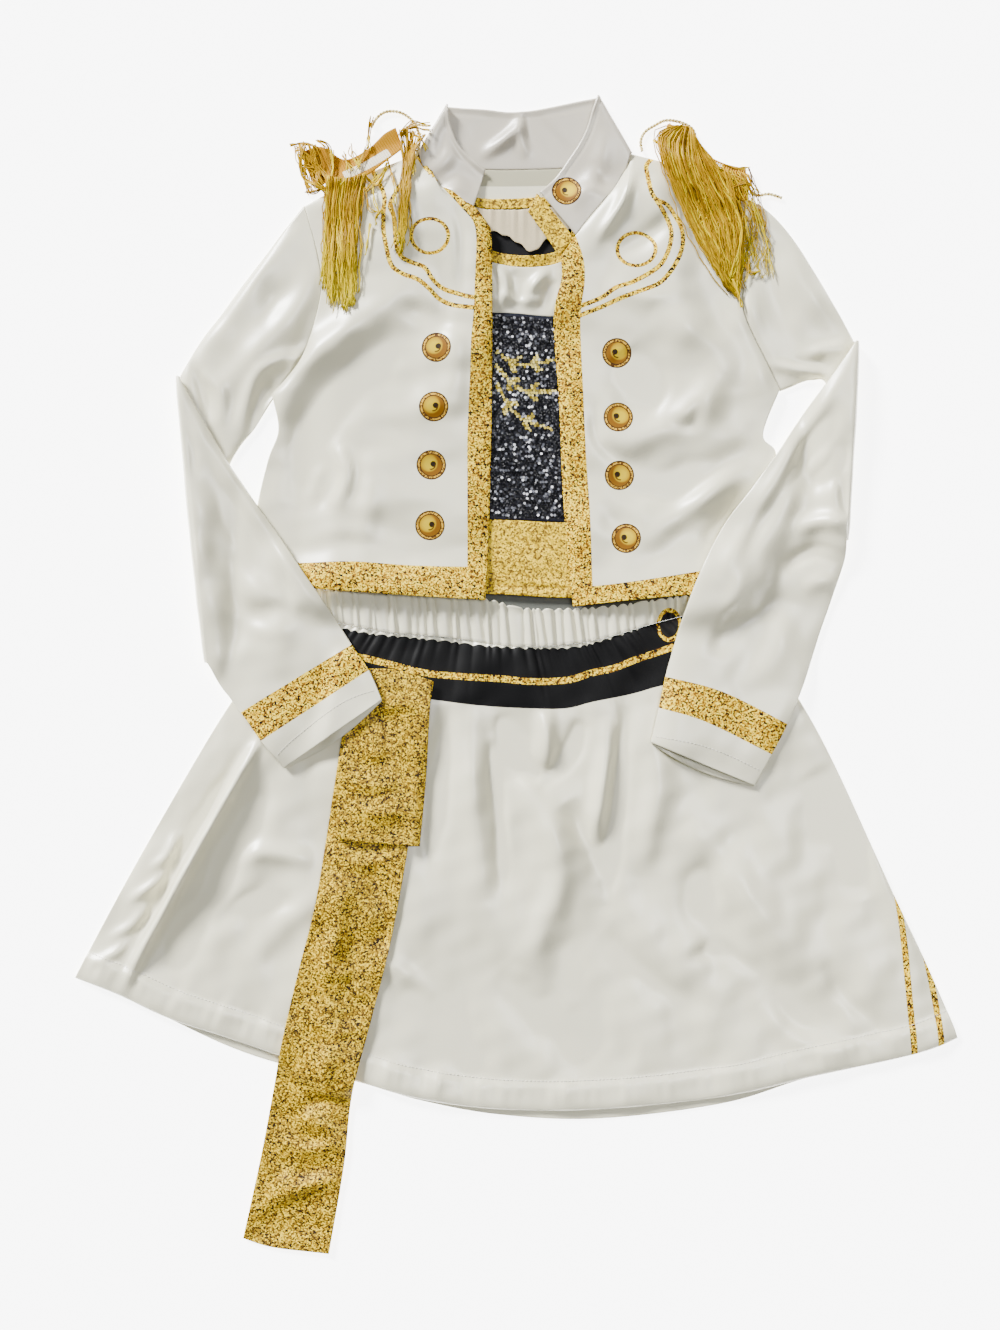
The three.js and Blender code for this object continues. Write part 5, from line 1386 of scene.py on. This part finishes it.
def collar_wall():
    """The collar's outer and inner sides, from its right end round both folds to its left end."""
    right, back, left = collar_right_front, collar_back, collar_left_front
    outer, inner = [right.top()], [right.bottom()]
    for angles, low_row, high_row, inside, part in (
        (TURN_ANGLES[::-1], 0, -1, 3, right),
        (TURN_ANGLES, -1, 0, -4, left),
    ):
        bottom, top = back.bottom(), back.top()
        outward = away_from_fold(bottom[low_row], bottom[inside])
        if part is left:
            outer.append(bottom)
            inner.append(top)
        for angle in angles:
            outer.append(turned(bottom[low_row], part.top()[high_row], angle, outward)[None])
            inner.append(turned(top[low_row], part.bottom()[high_row], angle, outward)[None])
    outer.append(left.top())
    inner.append(left.bottom())
    return np.concatenate(outer), np.concatenate(inner)


# Camisole

camisole_back = Layer(
    panel_plan(CAMISOLE_BACK_HEM, CAMISOLE_BACK_TOP, CAMISOLE_BACK_RIGHT, CAMISOLE_BACK_LEFT, facet=(4, 4))
)
back_binding = Layer(inset(section_plan(BACK_BINDING, (2, 3))[0]), ripple=0.3, seed=52)
facing_rows = section_plan(BACK_FACING, (2, 2))[0]
facing_along = lengths((facing_rows[:, 0] + facing_rows[:, -1]) / 2)[:, None]
facing_fall = np.linspace(0, 1, facing_rows.shape[1])[None]
facing_gathers = np.sin(facing_along * 1.5 + 2.2 * np.sin(facing_along * 0.21))
facing_gathers = facing_gathers + 0.7 * np.sin(facing_along * 0.71)
facing_rows[..., 1] += 0.8 * np.sin(facing_along * 0.62) * facing_fall**2
facing_lift = 1.0 + 0.8 * facing_gathers * (1.1 - facing_fall)
back_facing = Layer(inset(facing_rows), loft=0.6, held="rl", ripple=0.6, seed=53, lift=facing_lift)
yoke_top = join(smooth_line(STRAP_RIGHT_TOP), smooth_line(NECKLINE), smooth_line(STRAP_LEFT_TOP))
yoke_sides = [smooth_line(edge) for edge in (YOKE_RIGHT, YOKE_LEFT)]
neck_corners = [NECKLINE[0], NECKLINE[-1]]
yoke_rows = plan(smooth_line(YOKE_SEAM), yoke_top, *yoke_sides, facet=(2.5, 2.5), corners=neck_corners)
camisole_front = Layer(yoke_rows, loft=2.2, held="b", folds=YOKE_FOLDS, ripple=0.7, seed=54)
neckline = at_shares(smooth_line(NECKLINE), np.linspace(0, 1, 90))
neckline_along = unit(np.gradient(neckline, axis=0))
neckline_across = np.stack((-neckline_along[:, 1], neckline_along[:, 0]), axis=1)
binding_across = spread(BINDING_WIDTH, 2)[None, :, None] * BINDING_WIDTH
binding_rows = inset(neckline[:, None] + neckline_across[:, None] * binding_across)
front_binding = Layer(binding_rows, ripple=0.4, seed=55)
sequin_panel = Layer(panel_plan(SEQUIN_SEAM, YOKE_SEAM, SEQUIN_RIGHT, SEQUIN_LEFT), ripple=0.5, seed=56)
hem_band_rows = panel_plan(CAMISOLE_HEM, SEQUIN_SEAM, HEM_BAND_RIGHT, HEM_BAND_LEFT, facet=(FACET, 1.5))
hem_above = apart_along(hem_band_rows, 0)[0]
hem_lift = 1.2 * step_down(hem_above - 5.5, 0.8) + 0.9 * hump(hem_above - 11, 2.5)
hem_band = Layer(hem_band_rows, loft=0.8, held="t", ripple=0.7, seed=57, lift=hem_lift)

# Sash and epaulettes' boards

long_tail = Layer(
    panel_plan(LONG_TAIL_END, LONG_TAIL_TOP, LONG_TAIL_RIGHT, LONG_TAIL_LEFT),
    loft=2.2, held="", folds=TAIL_FOLDS, ripple=1.0, seed=61,
)
short_tail = Layer(
    panel_plan(SHORT_TAIL_END, SHORT_TAIL_TOP, SHORT_TAIL_RIGHT, SHORT_TAIL_LEFT),
    loft=1.4, held="t", folds=SHORT_TAIL_FOLDS, ripple=0.7, seed=62,
)
board_right = Layer(inset(section_plan(BOARD_RIGHT, (2, 2))[0]), cloth=BOARD, ripple=0.3, seed=71)
board_left = Layer(inset(section_plan(BOARD_LEFT, (2, 2))[0]), cloth=BOARD, ripple=0.3, seed=72)

lay(back_waist, skirt_back, jacket_back, collar_back, sleeve_right["upper_low"], sleeve_left["upper_low"])
lay(camisole_back, back_binding)
lay(back_facing)
lay(camisole_front, front_binding, sequin_panel, hem_band)
sequin_bases = stack.high.copy()
stack.cover(sequin_panel.top() + UP * SEQUIN_RISE)
lay(front_waist, skirt_front)
lay(collar_band)
lay(
    jacket_front_right, jacket_front_left, collar_right_front, collar_left_front,
    sleeve_right["upper_high"], sleeve_left["upper_high"],
)
lay(long_tail)
lay(short_tail)
lay(sleeve_right["fore_low"], sleeve_left["fore_low"])
lay(sleeve_right["fore_high"], sleeve_left["fore_high"])
lay(board_right, board_left)

# Finishes of this costume

WHITE = rgb(231, 226, 197)
SHADE = rgb(222, 218, 192)
# Colours of a glitter's grains: the common ones, the pale, the dark and the reddish ones
JACKET_GOLD = [(208, 162, 8), (255, 222, 66), (20, 12, 2), (116, 76, 6)]
SASH_GOLD = [(164, 128, 4), (240, 202, 40), (34, 22, 2), (100, 72, 4)]
BINDING_GOLD = [(214, 176, 6), (255, 216, 44), (96, 70, 8), (156, 122, 10)]
GRAIN = 1.05
BINDING_GRAIN = 1.2
BUCKLE_GRAIN = 1.4
# Half widths of the printed lines, and the rings' radius and shape
SCROLL_LINE = 1.8
BELT_GOLD = 2.6
STRIPE = 2.5
RING_LINE = 1.5
RING = 14.3
RIGHT_RING_SHAPE = (1, 1 / 1.1)
LEFT_RING_SHAPE = (1 / 0.97, 1 / 1.1)
# The buttons' radii, from the edge inwards, and half the buckle's width, height and opening
BUTTON_EDGE = 11.5
BUTTON_RIM = 10.4
BUTTON_GROOVE = 9.0
BUTTON_DOME = 8.1
BUCKLE_SIZE = (9.8, 13.2)
BUCKLE_OPENING = 0.74
BUCKLE_SOFT = 0.03


def white_knit(name, light=WHITE, dark=SHADE):
    finish = Finish(name, Specular_IOR_Level=0.9, Coat_Weight=0.25, Coat_Roughness=0.28)
    finish.colour = finish.mix(finish.noise(60), light, dark)
    finish.rough = finish.noise(25) * 0.1 + 0.33
    finish.relief = finish.noise(0.8, 1) * 0.06
    return finish


def glitter(finish, size, colours):
    """Grains of the four colours, in the shares that a gold print has."""
    base, pale, dark, red = colours
    stops = [(0.0, dark), (0.2, dark), (0.24, red), (0.4, red), (0.46, base), (0.66, base), (0.8, pale)]
    return finish.ramp(finish.grains(size), stops)


def gold_cloth(name, size, colours):
    finish = Finish(name, Specular_IOR_Level=0.2)
    finish.colour = glitter(finish, size, colours)
    finish.rough = 0.5
    finish.relief = finish.grains(size) * 0.15
    return finish.done()


def plain_cloth(name, colour, rough=0.8):
    finish = Finish(name, Specular_IOR_Level=0.2)
    finish.colour = finish.mix(finish.noise(0.9), colour, (*(channel * 0.7 for channel in colour[:3]), 1.0))
    finish.rough = rough
    finish.relief = finish.noise(0.9, 1) * 0.1
    return finish.done()


def scroll(finish, name):
    """1 on a scroll line, between its ends."""
    between = finish.mark(name + "_along").above(0) & finish.mark(name + "_left").above(0)
    return abs(finish.mark(name)).below(SCROLL_LINE) & between


def paint_buttons(finish, centres, side):
    """Domed buttons with a speckled rim, a crescent of shade and a dot. The side is 1 or -1."""
    away = finish.nearest(centres)
    rim = finish.ramp(finish.grains(0.9), [(0.0, (60, 34, 6)), (0.35, (90, 56, 8)), (0.5, (206, 160, 50))])
    dome = away.below(BUTTON_DOME)
    crescent = dome & finish.nearest(centres, -1.9 * side, 1.6).above(6.6, 1.6)
    tail = abs(finish.nearest(centres, -0.6 * side, 0.2) - 3.6).below(0.5, 0.5)
    tail = tail & finish.nearest(centres, 1.6 * side, -2.4).below(3.0)
    finish.paint(away.below(BUTTON_EDGE), rgb(56, 34, 8))
    finish.paint(away.below(BUTTON_RIM), rim)
    finish.paint(away.below(BUTTON_GROOVE), rgb(58, 32, 4))
    finish.paint(dome, rgb(172, 134, 0))
    finish.paint(crescent, rgb(118, 76, 2))
    finish.paint(finish.nearest(centres, -1.4 * side, 0.8).below(4.8, 3.0), rgb(200, 170, 0))
    finish.paint(finish.nearest(centres, 1.5 * side, 0.8).below(2.2), rgb(34, 22, 2))
    finish.paint(tail, rgb(70, 42, 2))


def paint_buckle(finish):
    away = finish.near(*BUCKLE, *BUCKLE_SIZE)
    finish.paint(away.below(1.0, BUCKLE_SOFT), glitter(finish, BUCKLE_GRAIN, JACKET_GOLD))
    finish.paint(away.below(BUCKLE_OPENING, BUCKLE_SOFT), rgb(16, 14, 14))


white = white_knit("white knit").done()

jacket_inside_with_painted_shade = white_knit("jacket inside with painted collar shade")
neck = jacket_inside_with_painted_shade.mark("neck")
# Painted shade: a darker grey band on the jacket's inside, just below the collar's back seam, where the
# collar shades it
jacket_inside_with_painted_shade.paint(neck.below(13) & neck.above(0), rgb(176, 172, 146))
jacket_inside_with_painted_shade.done()

front_finish = {}
for side, centres, ring, shape, turn in (
    ("right", BUTTONS_RIGHT, RING_RIGHT, RIGHT_RING_SHAPE, 1),
    ("left", BUTTONS_LEFT, RING_LEFT, LEFT_RING_SHAPE, -1),
):
    finish = white_knit(f"jacket {side} front print")
    edges = finish.mark("band").above(0) | finish.mark("hem").above(0)
    circle = abs(finish.near(*ring, *shape) - RING).below(RING_LINE)
    scrolls = scroll(finish, "outer") | scroll(finish, "inner")
    finish.paint(edges | circle | scrolls, glitter(finish, GRAIN, JACKET_GOLD))
    paint_buttons(finish, centres, turn)
    front_finish[side] = finish.done()

sleeve_finish = white_knit("sleeve print")
sleeve_finish.paint(sleeve_finish.mark("cuff").above(0), glitter(sleeve_finish, GRAIN, JACKET_GOLD))
sleeve_finish.done()

casing_finish = white_knit("casing print")
paint_buckle(casing_finish)
casing_finish.done()

# Painted shade: the standing collar is the same white knit, painted darker and warmer for the shade it
# stands in
collar_print_with_painted_shade = white_knit("collar print with painted shade", rgb(198, 190, 172), rgb(188, 180, 162))
paint_buttons(collar_print_with_painted_shade, COLLAR_BUTTON, -1)
collar_print_with_painted_shade.done()

skirt_finish = white_knit("skirt print")
gold = glitter(skirt_finish, GRAIN, JACKET_GOLD)
belt = skirt_finish.mark("belt").above(0)
skirt_finish.paint(belt, rgb(2, 2, 3))
skirt_finish.paint(abs(skirt_finish.mark("line")).below(BELT_GOLD) & belt, gold)
stripes = abs(skirt_finish.mark("inner")).below(STRIPE) | abs(skirt_finish.mark("outer")).below(STRIPE)
skirt_finish.paint(stripes, gold)
paint_buckle(skirt_finish)
skirt_finish.done()

gold_binding = gold_cloth("gold binding", BINDING_GRAIN, BINDING_GOLD)
sash_gold = gold_cloth("sash gold", GRAIN, SASH_GOLD)
lining = plain_cloth("lining", rgb(14, 14, 16))
heather = plain_cloth("heathered knit", rgb(98, 100, 94))
facing_cloth = plain_cloth("cream facing", rgb(214, 198, 162), 0.5)
sequin_cloth = plain_cloth("sequin cloth", rgb(18, 20, 34), 0.4)
thread_gold = plain_cloth("gold sewing thread", rgb(190, 150, 40), 0.5)
thread_white = plain_cloth("sewing thread", rgb(236, 233, 226), 0.5)

heading = Finish("heading tape", Specular_IOR_Level=0.2)
heading.relief = (heading.mark("along") * 3.2).math("SINE") * 0.25
heading.colour = heading.mix(heading.noise(1.2), rgb(180, 130, 0), rgb(156, 106, 0))
heading.rough = 0.6
heading.paint(heading.mark("window").above(0), rgb(232, 222, 196))
heading.done()

sequin_finish = Finish("sequins", Roughness=0.2, Specular_IOR_Level=0.25)
tone = sequin_finish.mark("tone")
# Painted glints: the lightest tones, up to near white, stand for sequins that catch the light; the rest are
# the sequins' own dark navy
navy_with_painted_glints = [(0.0, (3, 3, 5)), (0.55, (9, 9, 13)), (0.8, (34, 35, 40)), (0.92, (110, 112, 120))]
navy_with_painted_glints = sequin_finish.ramp(tone, [*navy_with_painted_glints, (1.0, (250, 250, 255))])
gilt = sequin_finish.ramp(tone, [(0.0, (104, 88, 20)), (0.5, (186, 164, 60)), (0.9, (236, 220, 130))])
sequin_finish.set(Base_Color=sequin_finish.mix(sequin_finish.mark("golden"), navy_with_painted_glints, gilt))

thread_finish = Finish("fringe thread", Specular_IOR_Level=0.15)
tone = thread_finish.mark("tone")
# Darker and more ochre towards the roots, lighter towards the tips: partly the fringe's own colour, partly
# painted shade where the threads bunch near the board. Each fringe's bright number sets how far its tips go
# towards the light end
length_tint_and_painted_shade = [(0.0, (172, 132, 0)), (0.2, (160, 120, 0)), (0.5, (174, 138, 0)), (0.75, (194, 170, 0))]
length_tint_and_painted_shade = thread_finish.ramp(thread_finish.mark("along"), [*length_tint_and_painted_shade, (1.0, (204, 188, 0))])
by_thread = [(0.0, (88, 58, 0)), (0.3, (146, 104, 0)), (0.7, (194, 156, 0)), (1.0, (228, 206, 0))]
by_thread = thread_finish.ramp(tone, by_thread)
thread_finish.colour = thread_finish.mix(abs(tone - 0.5) * 1.5, length_tint_and_painted_shade, by_thread)
thread_finish.rough = 0.38
thread_finish.relief = thread_finish.noise(1.4, 1) * 0.2
thread_finish.done()

cord_finish = Finish("twisted cord", Roughness=0.42)
cord_colours = [(0.3, (150, 126, 60)), (0.5, (206, 184, 110)), (0.7, (240, 226, 168))]
cord_finish.set(Base_Color=cord_finish.ramp(cord_finish.noise(1.6, 1), cord_colours))

# Pieces

# How far the printed lines go on past their tables' ends, and half the width of a board's window
LINE_REACH = 30
WINDOW = 3.6
# A mark's value where a print is kept off
UNPRINTED = -9
# How far the stitching is from the skirt's hem, the casing's lower edge and the buckle's middle
HEM_STITCHING = 23
CASING_STITCHING = 2.2
BUCKLE_CLEAR = 12


def marks_of(rows, **lines):
    """How far a surface's points lie to the left of each printed line, and along it."""
    marks = {}
    for name, line in lines.items():
        line = curve_through([point[:2] for point in line], LINE_STEPS)
        side, along = place_on(line, rows[..., 0], rows[..., 1], extend=LINE_REACH)
        marks[name], marks[name + "_along"] = side, along
        marks[name + "_left"] = lengths(line)[-1] - along
    return marks


def add_cloth(name, sides, finish, node, marks=None, ringed=False):
    """A piece of cloth between its two sides, with the marks of its prints on both."""
    points, faces = wall(*sides, ringed)
    doubled = {mark: np.tile(values.ravel(), 2) for mark, values in (marks or {}).items()}
    add_piece(name, points, faces, finish, [node], doubled)


def add_panel(name, layer, finish, node, marks=None):
    """A panel of one layer."""
    add_cloth(name, layer.sides(), finish, node, marks)
    layer.top()


add_panel("skirt_back_waist_cloth", back_waist, heather, "skirt_back_waist")
add_panel("skirt_back_cloth", skirt_back, white, "skirt_back")
add_panel(
    "skirt_waist_casing", front_waist, casing_finish, "skirt_front_waist",
)
marks = marks_of(
    front_rows, top=BELT_TOP, bottom=BELT_BOTTOM, line=BELT_LINE, inner=STRIPE_INNER, outer=STRIPE_OUTER
)
scallop = 1.8 * (gathers_at(front_share, 0)[0] - SCALLOP_MIDDLE)
marks["belt"] = np.minimum(scallop - marks["top"], marks["bottom"])
marks = {name: marks[name] for name in ("belt", "line", "inner", "outer")}
add_panel(
    "skirt_front_cloth", skirt_front, skirt_finish, "skirt_front",
    marks,
)
marks = {"neck": -marks_of(jacket_back.rows, neck=COLLAR_BACK)["neck"]}
add_panel(
    "jacket_back_cloth", jacket_back, jacket_inside_with_painted_shade, "jacket_back",
    marks=marks,
)
marks = marks_of(
    right_rows, band=BAND_RIGHT, hem=HEM_RIGHT, outer=SCROLL_RIGHT_OUTER, inner=SCROLL_RIGHT_INNER
)
marks["hem"] = -marks["hem"]
add_panel(
    "jacket_right_front", jacket_front_right, front_finish["right"], "jacket_front_right",
    marks=marks,
)
marks = marks_of(left_rows, band=BAND_LEFT, hem=HEM_LEFT, outer=SCROLL_LEFT_OUTER, inner=SCROLL_LEFT_INNER)
marks["hem"] = -marks["hem"]
marks["band"] = -marks["band"]
add_panel(
    "jacket_left_front", jacket_front_left, front_finish["left"], "jacket_front_left",
    marks=marks,
)
add_cloth("jacket_collar_cloth", collar_wall(), collar_print_with_painted_shade, "jacket_collar")
collar_strip = np.concatenate((collar_right_front.top(), collar_back.top(), collar_left_front.top()))
add_panel(
    "collar_band", collar_band, gold_binding, "jacket_collar_band"
)
for side, layers, top_line, bottom_line in (
    ("right", sleeve_right, CUFF_RIGHT_TOP, CUFF_RIGHT_BOTTOM),
    ("left", sleeve_left, CUFF_LEFT_TOP, CUFF_LEFT_BOTTOM),
):
    outer, inner = sleeve_wall(layers)
    marks = marks_of(outer, top=top_line, bottom=bottom_line)
    cuff = np.minimum(-marks["top"], marks["bottom"])
    cuff[: len(layers["upper_low"].rows) + 2 * TURN_STEPS] = UNPRINTED
    add_cloth(
        f"{side}_sleeve", (outer, inner), sleeve_finish, f"sleeve_{side}", {"cuff": cuff}, True
    )
    low = np.concatenate((layers["upper_low"].top(), layers["fore_low"].top()))
    high = np.concatenate((layers["upper_high"].top(), layers["fore_high"].top()))
add_panel(
    "camisole_back_cloth", camisole_back, lining, "camisole_back",
)
add_cloth("back_neck_binding", back_binding.sides(), gold_binding, "camisole_back_binding")
add_panel(
    "back_facing", back_facing, facing_cloth, "camisole_back_facing",
)
add_panel(
    "camisole_front_cloth", camisole_front, white, "camisole_front",
)
add_cloth("front_neck_binding", front_binding.sides(), gold_binding, "camisole_front_binding")
add_panel(
    "sequin_panel", sequin_panel, sequin_cloth, "camisole_sequin_panel",
)
add_panel(
    "camisole_hem_band_cloth", hem_band, gold_binding, "camisole_hem_band",
)
add_panel(
    "sash_long_tail_cloth", long_tail, sash_gold, "sash_long_tail",
)
add_panel(
    "sash_short_tail_cloth", short_tail, sash_gold, "sash_short_tail",
)
for side, board, window, trimmings in (
    ("right", board_right, WINDOW_RIGHT, ["fringe", "neck_fringe", "end_fringe", "cord"]),
    ("left", board_left, WINDOW_LEFT, ["fringe", "end_fringe", "cord", "cord_end"]),
):
    marks = marks_of(board.rows, window=window)
    inside = np.minimum(marks["window_along"], marks["window_left"])
    marks = {"window": np.minimum(WINDOW - np.abs(marks["window"]), inside), "along": marks["window_along"]}
    add_panel(
        f"{side}_board", board, heading, f"epaulette_{side}_board",
        marks,
    )

add_cord("right_cord", CORD_RIGHT_BEHIND, CORD_RIGHT)
add_cord("left_cord", CORD_LEFT)
add_cord("left_cord_end", CORD_LEFT_END)
add_fringe("right_fringe", MAIN_BUNCH_RIGHT, 130, 81, 4.0, WISPS_RIGHT, 1.0)
add_fringe("right_neck_fringe", NECK_BUNCH_RIGHT, 34, 83, 3.0, WISPS_RIGHT_NECK, 0.8)
add_fringe("right_end_fringe", END_BUNCH_RIGHT, 22, 85, 2.4, WISPS_RIGHT_END, 0.4)
add_fringe("left_fringe", MAIN_BUNCH_LEFT, 150, 87, 4.2, WISPS_LEFT, 0.6)
add_fringe("left_end_fringe", END_BUNCH_LEFT, 26, 89, 2.0, WISPS_LEFT_END, 0.9, waves=2.2, radius=0.4)
add_sequins("sequins", sequin_panel.rows, sequin_bases, sequin_finish)

skirt_hem = level_line(skirt_front.top(), skirt_front.edges["b"] - HEM_STITCHING)
add_stitches("skirt_hem_stitches", skirt_hem, thread_white)
for side, layers, line in (
    ("right", sleeve_right, CUFF_RIGHT_STITCHING),
    ("left", sleeve_left, CUFF_LEFT_STITCHING),
):
    add_stitches(f"{side}_cuff_stitches", line_on(layers["fore_high"], line), thread_white)
casing_seam = level_line(front_waist.top(), front_waist.edges["b"] - CASING_STITCHING)
casing_seam = casing_seam[casing_seam[:, 0] < BUCKLE[0] - BUCKLE_CLEAR]
add_stitches("casing_stitches", casing_seam, thread_white, pitch=2.6, radius=0.16)
add_stitches("hem_band_stitches", line_on(hem_band, HEM_BAND_STITCHING), thread_gold)


# Floor, light and camera

FLOOR_HALF = 3
FLOOR_LEVEL = -0.0003
FLOOR_GLOW = 6.0
SUN_WIDTH = 14
STUDIO_COLOUR = (0.93, 0.96, 1.0, 1)
STUDIO_STRENGTH = 0.27
FOCAL_LENGTH = 73.8
SENSOR_WIDTH = 36
CAMERA_PLACE = (-0.0117, 0.0078, 1.6)


def add_floor():
    finish = Finish("floor", Roughness=0.9, Emission_Color=rgb(255, 255, 255), Emission_Strength=FLOOR_GLOW)
    finish.set(Base_Color=finish.mix(finish.noise(300), rgb(246, 246, 246), rgb(250, 250, 250)))
    mesh = bpy.data.meshes.new("floor")
    signs = ((-1, -1), (1, -1), (1, 1), (-1, 1))
    corners = [(x * FLOOR_HALF, y * FLOOR_HALF, FLOOR_LEVEL) for x, y in signs]
    mesh.from_pydata(corners, [], [(0, 1, 2, 3)])
    mesh.materials.append(finish.material)
    in_scene("floor", mesh)


def add_sun(name, strength, away):
    """A wide soft light from far away."""
    lamp = bpy.data.lights.new(name, "SUN")
    lamp.energy, lamp.angle = strength, math.radians(SUN_WIDTH)
    light = in_scene(name, lamp)
    light.rotation_euler = Vector(away).to_track_quat("Z", "Y").to_euler()


add_floor()
add_sun("key", 12.0, (-0.95, 1.1, 0.72))
add_sun("fill", 1.5, (0.45, 0.25, 1.6))
world = bpy.data.worlds.new("studio")
bpy.context.scene.world = world
world.use_nodes = True
background = world.node_tree.nodes["Background"]
background.inputs["Color"].default_value = STUDIO_COLOUR
background.inputs["Strength"].default_value = STUDIO_STRENGTH

lens = bpy.data.cameras.new("camera")
lens.lens, lens.sensor_fit, lens.sensor_width = FOCAL_LENGTH, "HORIZONTAL", SENSOR_WIDTH
camera = in_scene("camera", lens)
camera.location = CAMERA_PLACE
bpy.context.scene.camera = camera
